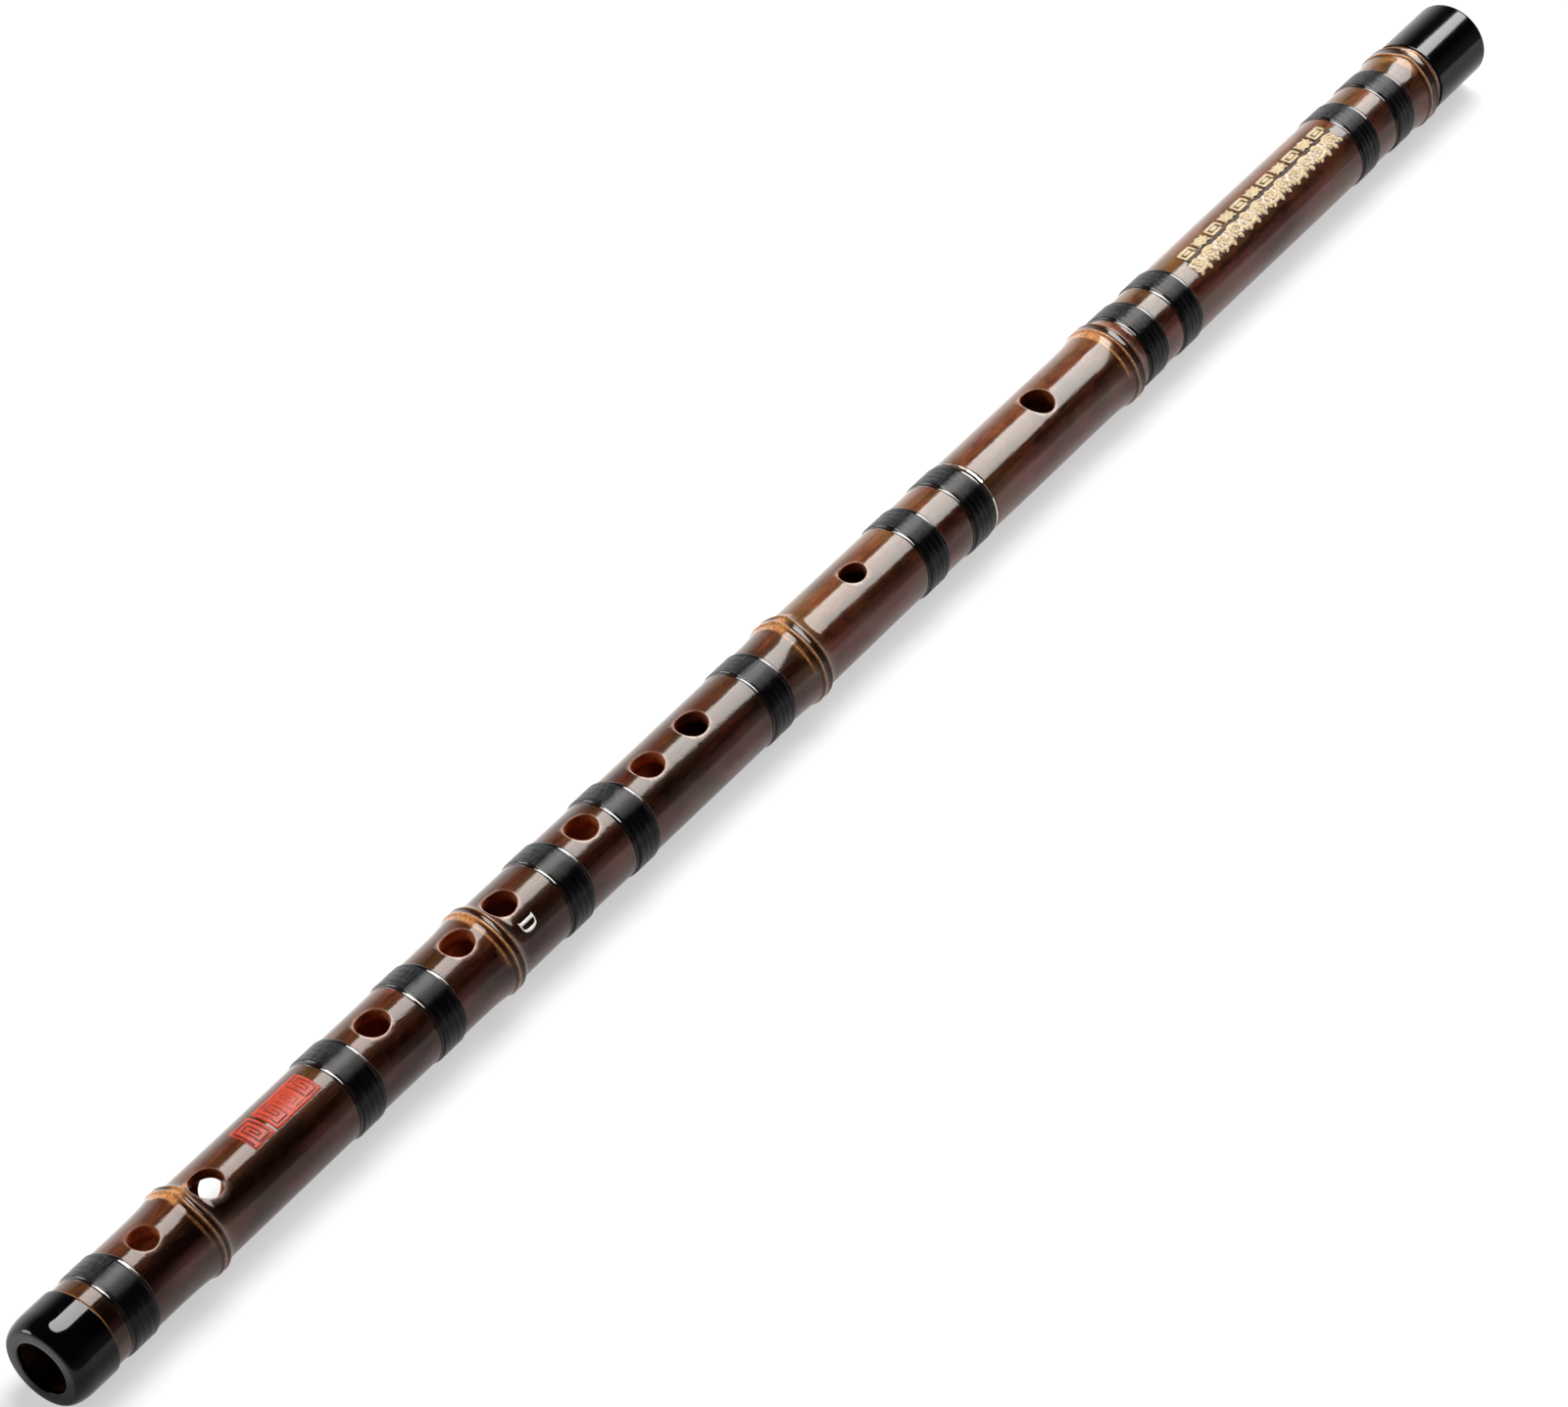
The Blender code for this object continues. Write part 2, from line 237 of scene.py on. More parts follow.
class Shader:
    """A material's node tree, with short calls that add and link its nodes."""

    def __init__(self, name):
        self.material = bpy.data.materials.new(name)
        self.material.use_nodes = True
        self.tree = self.material.node_tree
        self.principled = self.tree.nodes["Principled BSDF"]
        self.position = self.node("TexCoord").outputs["Object"]
        self.place = self.node("SeparateXYZ", self.position).outputs

    def link(self, value, socket):
        """Set a socket to a constant, or link it to an output."""
        if isinstance(value, bpy.types.NodeSocket):
            self.tree.links.new(value, socket)
        elif isinstance(value, tuple) and len(value) == 3 and socket.type == "RGBA":
            socket.default_value = (*value, 1.0)
        else:
            socket.default_value = value

    def node(self, kind, *values, **named):
        """Add a node, with its first inputs set in order and others by name."""
        node = self.tree.nodes.new("ShaderNode" + kind)
        for value, socket in zip(values, node.inputs):
            self.link(value, socket)
        for name, value in named.items():
            self.link(value, node.inputs[name])
        return node

    def set(self, **values):
        """Set the Principled shader's sockets, with _ in place of each space."""
        for name, value in values.items():
            self.link(value, self.principled.inputs[name.replace("_", " ")])

    def show(self, node):
        """Let a shader node take the Principled shader's place."""
        self.link(node.outputs[0], self.tree.nodes["Material Output"].inputs["Surface"])

    def stretched(self, scale):
        """The position, stretched by a scale along each axis."""
        node = self.node("VectorMath", self.position, scale)
        node.operation = "MULTIPLY"
        return node.outputs["Vector"]

    def noise(self, scale, detail=3.0, roughness=0.55, distortion=0.0):
        """Noise between 0 and 1, with a number of features per metre along each axis."""
        node = self.node("TexNoise", Vector=self.stretched(scale), Scale=1.0, Detail=detail)
        self.link(roughness, node.inputs["Roughness"])
        self.link(distortion, node.inputs["Distortion"])
        return node.outputs["Fac"]

    def cells(self, scale):
        """Distance to the nearest cell's middle, in cells."""
        return self.node("TexVoronoi", Vector=self.stretched(scale), Scale=1.0).outputs["Distance"]

    def maths(self, operation, *values):
        """One Math node."""
        node = self.node("Math", *values)
        node.operation = operation
        return node.outputs[0]

    def scaled(self, value, factor, plus):
        """A value times a factor, plus a number or another value."""
        return self.maths("MULTIPLY_ADD", value, factor, plus)

    def towards_lit_side(self):
        """How far round the flute a point faces the lit side, up and towards +Y: 1 there, -1 opposite.
        """
        height = self.maths("MULTIPLY", self.maths("SUBTRACT", self.place["Z"], AXIS_HEIGHT), 0.77)
        reach = self.scaled(self.place["Y"], 0.64, height)
        return self.maths("DIVIDE", reach, TUBE_RADIUS)

    def painted(self, name):
        """A value that the mesh holds at each point."""
        node = self.node("Attribute")
        node.attribute_name = name
        return node.outputs["Fac"]

    def spread(self, value, low, high, new_low=0.0, new_high=1.0):
        """Stretch a range of values over another range, and clamp it there."""
        return self.node("MapRange", value, low, high, new_low, new_high).outputs[0]

    def ramp(self, value, *stops):
        """Colours along a value: each stop is (position, colour)."""
        node = self.node("ValToRGB", value)
        elements = node.color_ramp.elements
        while len(elements) < len(stops):
            elements.new(1.0)
        for element, (position, colour) in zip(elements, stops):
            element.position = position
            element.color = (*colour, 1.0)
        return node.outputs["Color"]

    def mix(self, amount, first, second, blend="MIX"):
        """Mix two colours."""
        node = self.node("Mix")
        node.data_type = "RGBA"
        node.blend_type = blend
        self.link(amount, node.inputs["Factor"])
        self.link(first, node.inputs[6])
        self.link(second, node.inputs[7])
        return node.outputs[2]

    def bump(self, height, distance, strength):
        """A bumped normal. The height's full range stands for the distance."""
        return self.node("Bump", Strength=strength, Distance=distance, Height=height).outputs["Normal"]


def bamboo_material():
    """Dark red-brown bamboo under clear gloss lacquer, golden where its nodes were scraped, with
    painted light on its lit side and a painted floor reflection underneath.
    """
    shader = Shader("lacquered_bamboo")
    streaks = shader.noise((32, 620, 620), 5.0, 0.6)
    fibres = shader.noise((85, 3300, 3300), 3.0, 0.6)
    mottle = shader.noise((26, 85, 85), 3.0, 0.5)
    blotches = shader.noise((150, 260, 260), 4.0, 0.62, 0.6)
    specks = shader.noise((900, 2600, 2600), 2.0, 0.6)
    side = shader.towards_lit_side()
    # Painted light: the colour is lighter on the side towards the light, by a gain that changes along
    # the flute
    painted_light = shader.spread(side, 0.22, 0.86)
    along = shader.maths(
        "ADD",
        shader.spread(shader.place["X"], -0.33, -0.06, -0.17, -0.08),
        shader.spread(shader.place["X"], -0.034, -0.020, 0.0, 0.12),
    )
    low = shader.spread(side, 0.10, -0.35)
    tone = shader.scaled(streaks, 0.34, -0.16)
    for grain, weight in ((mottle, 0.36), (blotches, 0.36), (fibres, 0.16)):
        tone = shader.scaled(grain, weight, tone)
    tone = shader.maths("ADD", along, tone)
    painted_light_gain = shader.spread(shader.place["X"], -0.30, -0.08, 0.29, 0.215)
    tone = shader.scaled(painted_light, painted_light_gain, tone)
    brown = shader.ramp(
        tone,
        (0.30, (0.0045, 0.0012, 0.0008)),
        (0.45, (0.0260, 0.0062, 0.0030)),
        (0.62, (0.0880, 0.0285, 0.0125)),
        (0.80, (0.2300, 0.0900, 0.0360)),
    )
    # Painted reflection of the floor: a mauve glow mixed into the colour on the lower side
    painted_floor_reflection = shader.ramp(
        shader.scaled(along, 1.0, mottle),
        (0.25, (0.0380, 0.0140, 0.0125)),
        (0.58, (0.1750, 0.0820, 0.0790)),
    )
    brown = shader.mix(shader.maths("MULTIPLY", low, 0.75), brown, painted_floor_reflection)
    olive = shader.ramp(
        shader.noise((55, 170, 170), 2.0, 0.5),
        (0.40, (1.12, 0.86, 0.84)),
        (0.62, (0.82, 1.04, 0.74)),
    )
    brown = shader.mix(1.0, brown, olive, "MULTIPLY")
    gold = shader.ramp(
        shader.noise((700, 2100, 2100), 3.0, 0.6),
        (0.30, (0.34, 0.105, 0.030)),
        (0.50, (0.66, 0.280, 0.095)),
        (0.70, (0.88, 0.520, 0.240)),
    )
    inside = shader.ramp(streaks, (0.3, (0.50, 0.115, 0.040)), (0.7, (0.80, 0.260, 0.100)))
    pale = shader.ramp(
        shader.noise((800, 800, 800), 3.0),
        (0.35, (0.34, 0.19, 0.14)),
        (0.65, (0.68, 0.50, 0.42)),
    )
    colour = brown
    # The rim paint is pale wear with a painted highlight, and the dark paint is painted shade in the
    # holes, the bore and the ends
    for name, paint in (
        ("gold", gold), ("groove", (0.014, 0.0042, 0.0026)), ("inside", inside),
        ("rim", pale), ("dark", (0.004, 0.0020, 0.0016)),
    ):
        colour = shader.mix(shader.painted(name), colour, paint)
    lacquer = shader.scaled(low, -0.42, 1.0)
    lacquer = shader.scaled(shader.painted("inside"), -0.85, lacquer)
    headwards = shader.spread(shader.place["X"], -0.20, 0.02)
    tint = shader.mix(headwards, (1.0, 0.50, 0.24), (0.95, 1.0, 0.80))
    worn = shader.scaled(fibres, 0.5, streaks)
    dimples = shader.scaled(specks, 0.55, shader.noise((420, 1500, 1500), 2.0))
    shader.set(
        Base_Color=colour,
        Roughness=shader.spread(fibres, 0.3, 0.7, 0.18, 0.30),
        Specular_IOR_Level=shader.scaled(low, -0.09, 0.11),
        Specular_Tint=tint,
        Normal=shader.bump(worn, 0.05 * MM, 0.5),
        Coat_Weight=shader.maths("MAXIMUM", lacquer, 0.0),
        Coat_Roughness=shader.scaled(low, 0.14, 0.055),
        Coat_IOR=1.38,
        Coat_Normal=shader.bump(dimples, 0.036 * MM, 0.5),
    )
    return shader.material


def resin_material():
    """Polished black resin with a trace of cloudiness, a little duller underneath."""
    shader = Shader("black_resin")
    cloud = shader.noise((60, 160, 160), 3.0)
    black = shader.ramp(cloud, (0.35, (0.0003, 0.0003, 0.0005)), (0.75, (0.0014, 0.0013, 0.0022)))
    haze = shader.spread(shader.noise((900, 2600, 2600), 3.0), 0.3, 0.7, 0.05, 0.09)
    low = shader.spread(shader.towards_lit_side(), 0.05, -0.45)
    shader.set(
        Base_Color=black,
        Roughness=shader.scaled(low, 0.10, haze),
        Specular_IOR_Level=shader.scaled(low, -0.36, 0.5),
        IOR=1.43,
        Normal=shader.bump(shader.noise((300, 700, 700), 2.0), 0.004 * MM, 0.5),
    )
    return shader.material


def thread_material():
    """Black wound thread under thin lacquer, with a grey painted sheen on the lit side."""
    shader = Shader("black_thread")
    lint = shader.noise((2500, 1100, 1100), 3.0, 0.65)
    wrinkles = shader.noise((260, 1500, 1500), 3.0, 0.6, 0.8)
    side = shader.towards_lit_side()
    low = shader.spread(side, 0.10, -0.35)
    patchy = shader.spread(wrinkles, 0.35, 0.65, 0.25, 1.0)
    # A grey painted sheen on the side towards the light, patchy with the wrinkles
    painted_sheen = shader.maths("MULTIPLY", shader.spread(side, 0.62, 0.97), patchy)
    black = shader.ramp(lint, (0.30, (0.0004, 0.0004, 0.0008)), (0.75, (0.0018, 0.0019, 0.0034)))
    shader.set(
        Base_Color=shader.mix(painted_sheen, black, (0.042, 0.045, 0.047)),
        Roughness=shader.spread(wrinkles, 0.3, 0.7, 0.11, 0.20),
        Specular_IOR_Level=shader.scaled(low, -0.20, 0.33),
        IOR=1.40,
        Normal=shader.bump(shader.scaled(lint, 0.25, wrinkles), 0.035 * MM, 0.6),
    )
    return shader.material


def lacquer_material():
    """Black lacquer that has run into a bead beside each winding."""
    shader = Shader("lacquer_bead")
    drift = shader.noise((400, 260, 260), 2.0)
    low = shader.spread(shader.towards_lit_side(), 0.30, -0.10)
    shader.set(
        Base_Color=shader.ramp(drift, (0.35, (0.003, 0.0016, 0.0014)), (0.7, (0.016, 0.006, 0.004))),
        Roughness=shader.spread(drift, 0.3, 0.7, 0.05, 0.09),
        Specular_IOR_Level=shader.scaled(low, -0.44, 0.5),
        IOR=1.85,
    )
    return shader.material


def metal_material(name, dark, light, roughness):
    """Turned metal, with fine lines left by the lathe."""
    shader = Shader(name)
    lines = shader.noise((9000, 90, 90), 2.0)
    shader.set(
        Base_Color=shader.ramp(shader.noise((300, 300, 300), 3.0), (0.35, dark), (0.65, light)),
        Metallic=1.0,
        Roughness=shader.spread(lines, 0.3, 0.7, roughness - 0.05, roughness + 0.07),
        Normal=shader.bump(lines, 0.004 * MM, 0.5),
    )
    return shader.material


def cork_material():
    """Natural cork: pale grains with dark pores."""
    shader = Shader("cork")
    grains = shader.cells((900, 900, 900))
    pores = shader.spread(shader.noise((420, 420, 420), 4.0, 0.7), 0.56, 0.66)
    colour = shader.ramp(grains, (0.1, (0.30, 0.155, 0.065)), (0.8, (0.52, 0.33, 0.16)))
    colour = shader.mix(pores, colour, (0.10, 0.045, 0.020))
    shader.set(
        Base_Color=colour,
        Roughness=shader.spread(grains, 0.0, 1.0, 0.72, 0.92),
        Normal=shader.bump(pores, -0.10 * MM, 0.7),
    )
    return shader.material


def paint_material(name, dark, light, roughness, gloss=0.35):
    """Paint with a brushed unevenness, under more or less clear lacquer."""
    shader = Shader(name)
    patches = shader.noise((900, 1500, 1500), 4.0, 0.65)
    shader.set(
        Base_Color=shader.ramp(patches, (0.35, dark), (0.6, light)),
        Roughness=shader.spread(patches, 0.3, 0.7, roughness - 0.06, roughness + 0.08),
        Normal=shader.bump(patches, 0.02 * MM, 0.5),
        Specular_IOR_Level=0.25,
        Coat_Weight=gloss,
        Coat_Roughness=0.10,
        Coat_IOR=1.38,
    )
    return shader.material


BAMBOO = bamboo_material()
RESIN = resin_material()
THREAD = thread_material()
LACQUER = lacquer_material()
NICKEL = metal_material("nickel_silver", (0.56, 0.52, 0.46), (0.74, 0.71, 0.64), 0.22)
BRASS = metal_material("turned_brass", (0.62, 0.38, 0.12), (0.78, 0.55, 0.22), 0.24)
CORK = cork_material()
GOLD_PAINT = paint_material("gold_paint", (0.54, 0.38, 0.19), (0.76, 0.60, 0.36), 0.40, 0.6)
BEIGE_PAINT = paint_material("old_gold_paint", (0.34, 0.20, 0.12), (0.64, 0.44, 0.28), 0.42, 1.0)
RED_PAINT = paint_material("red_paint", (0.36, 0.030, 0.010), (0.59, 0.061, 0.023), 0.42, 0.12)
DARK_RED_PAINT = paint_material(
    "dark_red_line", (0.045, 0.003, 0.002), (0.12, 0.008, 0.005), 0.42, 0.05,
)
DARK_PAINT = paint_material("dark_outline", (0.014, 0.005, 0.003), (0.035, 0.012, 0.007), 0.42)
WHITE_PAINT = paint_material("white_paint", (0.66, 0.65, 0.62), (0.86, 0.85, 0.82), 0.40)


# Meshes

def add_mesh(name, points, faces, material, body, replaces=(), tones=None):
    """Make a smooth piece that rides on a body, with its painted values if it has any."""
    mesh = bpy.data.meshes.new(name)
    mesh.from_pydata([tuple(point) for point in points], [], faces)
    for tone, values in (tones or {}).items():
        layer = mesh.attributes.new(tone, "FLOAT", "POINT")
        layer.data.foreach_set("value", values)
    mesh.shade_smooth()
    mesh.materials.append(material)
    piece = bpy.data.objects.new(name, mesh)
    bpy.context.scene.collection.objects.link(piece)
    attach(piece, body)
    if replaces:
        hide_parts(*replaces)
    return piece


def closed_strip(first, second):
    """Quads between two closed rows of points."""
    return list(zip(first, first[1:] + first[:1], second[1:] + second[:1], second))


def closed_rows(rows):
    """Quads along rows of closed outlines, and one face more over each end."""
    faces = []
    for first, second in zip(rows, rows[1:]):
        faces += closed_strip(first, second)
    return faces + [tuple(rows[0][::-1]), tuple(rows[-1])]


def add_row(points, row):
    """Add a row to a mesh's points. Returns their numbers."""
    points += row
    return list(range(len(points) - len(row), len(points)))


def rings(places, add):
    """A row of points round the flute for each place, added by a function."""
    return [[add(place, angle) for angle in RING_ANGLES] for place in places]


def rounded_set(places):
    """Places in order, each only once."""
    return sorted({round(place, 7) for place in places})


def filled_in(places, longest):
    """Places with more between them wherever neighbours lie further apart than longest."""
    result = []
    for first, second in zip(places, places[1:]):
        steps = max(1, math.ceil((second - first) / longest - 1e-6))
        result += [first + (second - first) * step / steps for step in range(steps)]
    return result + [places[-1]]


class Hole:
    """An oval hole with a rounded rim, and the block of tube that is re-meshed round it."""

    def __init__(self, place, size, angle, block, half_columns, wear=1.0, inner_shade=0.5):
        self.place = place
        self.wear = wear
        self.inner_shade = inner_shade
        self.half_length = size[0] / 2
        self.half_width = size[1] / 2
        self.angle = angle
        self.block = block
        self.half_columns = half_columns
        self.cells = round((block[1] - block[0]) / HOLE_CELL)

    def stations(self):
        """The places where the tube's rings cross the block."""
        start, end = self.block
        return [start + (end - start) * step / self.cells for step in range(self.cells + 1)]

    def bearing(self, place, angle):
        """The direction of a point of the block's border, as an angle round the hole."""
        start, end = self.block
        reach = end - self.place if place > self.place else self.place - start
        half_turn = self.half_columns * 2 * math.pi / COLUMNS
        return math.atan2((angle - self.angle) / half_turn, (place - self.place) / reach)

    def oval(self, bearing, grow):
        """Place and sideways distance of a point of the oval, grown by a margin."""
        place = self.place + (self.half_length + grow) * math.cos(bearing)
        return place, (self.half_width + grow) * math.sin(bearing)

    def rim_wear_and_highlight(self, bearing):
        """How pale the rim is at a bearing, from wear and a painted highlight: palest on its foot side
        towards -Y.
        """
        palest = math.cos(bearing - PALEST_RIM)
        return self.wear * (0.55 + 0.36 * palest + 0.07 * math.sin(5 * bearing))


def node_rise(distance, look):
    """How far a bamboo node stands proud: it flares slowly on its foot side, and drops quickly."""
    head_lip, foot_lip = look["head_line"][0] * MM, look["foot_line"][0] * MM
    half = (head_lip - foot_lip) / 2
    away = abs(distance - (head_lip + foot_lip) / 2)
    beyond = max(away - half + 1.0 * MM, 0.0)
    if distance < (head_lip + foot_lip) / 2:
        swelling = NODE_SWELLING * math.exp(-((beyond / NODE_FLARE_TO_FOOT) ** 1.3))
    else:
        swelling = NODE_SWELLING * math.exp(-((beyond / NODE_FLARE_TO_HEAD) ** 2))
    return swelling + NODE_LIP * math.exp(-(((away - half) / NODE_LIP_WIDTH) ** 2))


def node_shift(node, angle):
    """How far along the flute a node's ring strays at an angle: it runs up to a point at its bud."""
    wander = 0.28 * MM * math.sin(angle * 2 + node * 90) + 0.16 * MM * math.sin(angle * 3 - node * 50)
    bud = math.remainder(angle - math.radians(NODE_LOOKS[node]["bud"]), 2 * math.pi)
    return wander + 1.1 * MM * math.exp(-((bud / 0.30) ** 2))


# Each node's looks: its bud's angle, its scraped patch, and its three lines. The patch lies on the
# foot side, from a place and between two angles, and has a brightness. A line is its place along
# the flute from the node, in millimetres, and its brightness.
LOOK_NAMES = ("bud", "patch", "head_line", "foot_line", "low_line")
NODE_LOOKS = {node: dict(zip(LOOK_NAMES, look)) for node, look in zip(BODY_NODES + HEAD_NODES, (
    (-12, (-3.2, -105, -4, 0.85), (1.1, 0.35), (-0.9, 0.6), (-2.7, 0.25)),
    (150, (-3.4, -105, 0, 0.75), (1.2, 0.9), (-1.3, 1.0), (-3.4, 0.65)),
    (-20, (-4.2, -105, 0, 0.65), (1.6, 0.75), (-1.4, 0.9), (-4.0, 0.7)),
    (160, (-4.9, -105, 12, 0.75), (1.6, 0.6), (-1.7, 0.85), (-4.7, 1.0)),
    (10, (-6.4, -25, 26, 0.50), (1.0, 0.75), (-3.0, 1.0), (-5.0, 0.0)),
))}

# Each line's least brightness under the painted shade, and what it gains away from the -Y side
LINE_STRENGTHS = (("head_line", 0.12, 0.42), ("foot_line", 0.35, 0.55), ("low_line", 0.35, 0.55))


def uneven(place, angle):
    """The slight unroundness and unevenness of a natural culm."""
    oval = 0.07 * math.cos(2 * angle - 0.6 + place * 4.0)
    ripple = 0.035 * math.sin(3 * angle + place * 31.0) + 0.03 * math.sin(place * 76.0 + angle)
    swell = 0.05 * math.sin(place * 47.0 + 0.8)
    return (oval + ripple + swell) * MM


class Tube:
    """One bamboo tube as a closed mesh: outside, ends, bore, and holes with rounded rims."""

    def __init__(self, nodes, start, end, holes, gold_edges=()):
        self.nodes = nodes
        self.start = start
        self.end = end
        self.holes = holes
        self.gold_edges = gold_edges
        self.points = []
        self.faces = []
        self.tones = {"gold": [], "groove": [], "inside": [], "dark": [], "rim": []}

    def radius(self, place, angle):
        """The outside radius."""
        rise = 0.0
        for node in self.nodes:
            rise = max(rise, node_rise(place - node - node_shift(node, angle), NODE_LOOKS[node]))
        fade = blend_in(place, self.start, self.start + END_FADE)
        fade *= 1 - blend_in(place, self.end - END_FADE, self.end)
        return TUBE_RADIUS + min(rise + uneven(place, angle) * fade, NODE_HIGHEST)

    def tone(self, place, angle, inside):
        """Painted values: golden lines on the node lips and edges, dimmed by painted shade on one side,
        dark grooves, red-brown bore.
        """
        turn = math.degrees(math.remainder(angle, 2 * math.pi))
        # The node lines and the edge lines are dimmed by painted shade round the shaded side
        front = math.remainder(angle - SHADED_SIDE, 2 * math.pi)
        unshaded = 1 - 0.72 * math.exp(-((front / math.radians(42)) ** 2))
        gold = groove = 0.0
        for node in self.nodes:
            look = NODE_LOOKS[node]
            distance = (place - node - node_shift(node, angle)) / MM
            width = 0.36 + 0.06 * math.sin(7 * angle + node * 300)
            lines = []
            for name, weak, strong in LINE_STRENGTHS:
                offset, strength = look[name]
                if name == "low_line":
                    strength *= 1 - blend_in(turn, 56, 74)
                shape = math.exp(-(((distance - offset) / width) ** 2))
                lines.append(strength * (weak + strong * unshaded) * shape)
            patch_start, from_turn, to_turn, strength = look["patch"]
            ragged = 0.25 * math.sin(angle * 11 + node * 700) + 0.15 * math.sin(angle * 23)
            foot_lip, head_lip = look["foot_line"][0], look["head_line"][0]
            torn = patch_start + ragged
            patch = strength * blend_in(distance, torn - 0.4, torn + 0.4)
            patch *= 1 - blend_in(distance, foot_lip - 0.1, foot_lip + 0.5)
            patch *= blend_in(turn, from_turn - 8, from_turn + 25)
            patch *= 1 - blend_in(turn, to_turn - 8, to_turn + 12)
            bud = math.remainder(angle - math.radians(look["bud"]), 2 * math.pi)
            spot = 0.95 * math.exp(-((bud / 0.20) ** 2) - ((distance / 1.5) ** 2))
            scar = 0.7 * math.exp(-((bud / 0.07) ** 2)) * blend_in(distance, 0.4, 1.2)
            scar *= 1 - blend_in(distance, 3.0, 4.6)
            gold = max(gold, patch, spot, scar, *lines)
            half = (head_lip - foot_lip) / 2
            away = abs(distance - (head_lip + foot_lip) / 2)
            flank = math.exp(-(((away - half - 0.80) / 0.40) ** 2))
            between = 0.92 * (1 - blend_in(away, half - 0.65, half - 0.35))
            groove = max(groove, between * (1 - spot), 0.6 * flank * (1 - patch))
        for edge in self.gold_edges:
            gold = max(gold, 0.62 * unshaded * (1 - blend_in(abs(place - edge), 0.08 * MM, 0.34 * MM)))
        return {"gold": gold, "groove": groove, "inside": inside}

    def add(self, point, tone):
        """Add one point with its painted values."""
        self.points.append(point)
        for name, values in self.tones.items():
            values.append(tone.get(name, 0.0))
        return len(self.points) - 1

    def outside_point(self, place, angle):
        """Add a point of the outside."""
        return self.add(on_flute(place, angle, self.radius(place, angle)), self.tone(place, angle, 0.0))

    def inside_point(self, place, angle):
        """Add a point of the bore, darkened by painted shade near the foot's mouth and under the holes
        that have it.
        """
        nearest = min(self.holes, key=lambda hole: abs(hole.place - place))
        dark = max(0.96 * (1 - blend_in(place, *MOUTH_SHADE)), 0.9 * nearest.inner_shade)
        return self.add(on_flute(place, angle, BORE_RADIUS), {"inside": 1.0, "dark": dark})

    def painted_point(self, x, y, height):
        """The point at a place, a distance round the tube and a height over it, in millimetres."""
        place, angle = x * MM, y * MM / TUBE_RADIUS
        return on_flute(place, angle, self.radius(place, angle) + height * MM)

    def skin(self, places, grid, inward):
        """Faces over a grid, apart from the holes' blocks. Returns each block's border."""
        borders = []
        blocked = set()
        for hole in self.holes:
            first = min(range(len(places)), key=lambda row: abs(places[row] - hole.block[0]))
            last = first + hole.cells
            middle = round(hole.angle / (2 * math.pi) * COLUMNS)
            left = middle - hole.half_columns
            right = middle + hole.half_columns
            for row in range(first, last):
                for column in range(left, right):
                    blocked.add((row, column % COLUMNS))
            border = [(row, left) for row in range(first, last)]
            border += [(last, column) for column in range(left, right)]
            border += [(row, right) for row in range(last, first, -1)]
            border += [(first, column) for column in range(right, left, -1)]
            found = []
            for row, column in border:
                angle = 2 * math.pi * column / COLUMNS
                found.append((grid[row][column % COLUMNS], places[row], angle))
            borders.append(found)
        for row in range(len(places) - 1):
            for column in range(COLUMNS):
                if (row, column) not in blocked:
                    following = (column + 1) % COLUMNS
                    here, ahead = grid[row], grid[row + 1]
                    face = (here[column], here[following], ahead[following], ahead[column])
                    self.faces.append(face[::-1] if inward else face)
        return borders

    def line_hole(self, hole, outer, inner):
        """Join the outside to the bore round one hole."""
        loops = [[point for point, place, angle in outer]]
        bearings = [hole.bearing(place, angle) for point, place, angle in outer]
        for part in (0.13, 0.27, 0.42, 0.57, 0.72, 0.86, 0.96, 1.0):
            ring = []
            for (point, place, angle), bearing in zip(outer, bearings):
                rim_place, rim_side = hole.oval(bearing, RIM_MARGIN)
                rim_angle = hole.angle + math.asin(rim_side / TUBE_RADIUS)
                here = place + (rim_place - place) * part
                turn = angle + (rim_angle - angle) * part
                tone = self.tone(here, turn, 0.0)
                # The rim's pale wear and painted highlight
                tone["rim"] = blend_in(part, 0.80, 1.0) * hole.rim_wear_and_highlight(bearing)
                ring.append(self.add(on_flute(here, turn, self.radius(here, turn)), tone))
            loops.append(ring)
        for degrees in (25, 50, 72, 90):
            theta = math.radians(degrees)
            grow = RIM_MARGIN - RIM_ROUNDING * math.sin(theta)
            drop = RIM_ROUNDING * (1 - math.cos(theta))
            inside = degrees / 90 * 0.75
            loops.append(self.wall_ring(hole, bearings, grow, drop, inside, from_bore=False))
        for grow, rise, inside in ((-0.22 * MM, 1.6 * MM, 0.95), (-0.08 * MM, 0.15 * MM, 1.0)):
            loops.append(self.wall_ring(hole, bearings, grow, rise, inside, from_bore=True))
        for part in (0.0, 0.4, 0.75):
            ring = []
            for (point, place, angle), bearing in zip(inner, bearings):
                rim_place, rim_side = hole.oval(bearing, RIM_MARGIN)
                rim_angle = hole.angle + math.asin(rim_side / BORE_RADIUS)
                here = rim_place + (place - rim_place) * part
                turn = rim_angle + (angle - rim_angle) * part
                ring.append(self.inside_point(here, turn))
            loops.append(ring)
        loops.append([point for point, place, angle in inner])
        for first, second in zip(loops, loops[1:]):
            self.faces += [face[::-1] for face in closed_strip(first, second)]

    def wall_ring(self, hole, bearings, grow, depth, inside, from_bore):
        """A ring of the hole's wall, at a depth under the outside or a height over the bore."""
        ring = []
        for bearing in bearings:
            place, side = hole.oval(bearing, grow)
            angle = hole.angle + math.asin(side / TUBE_RADIUS)
            surface = BORE_RADIUS if from_bore else self.radius(place, angle)
            level = math.sqrt(surface ** 2 - side ** 2) + (depth if from_bore else -depth)
            point = on_axis(place) + outward(hole.angle) * level + sideways(hole.angle) * side
            tone = self.tone(place, angle, inside)
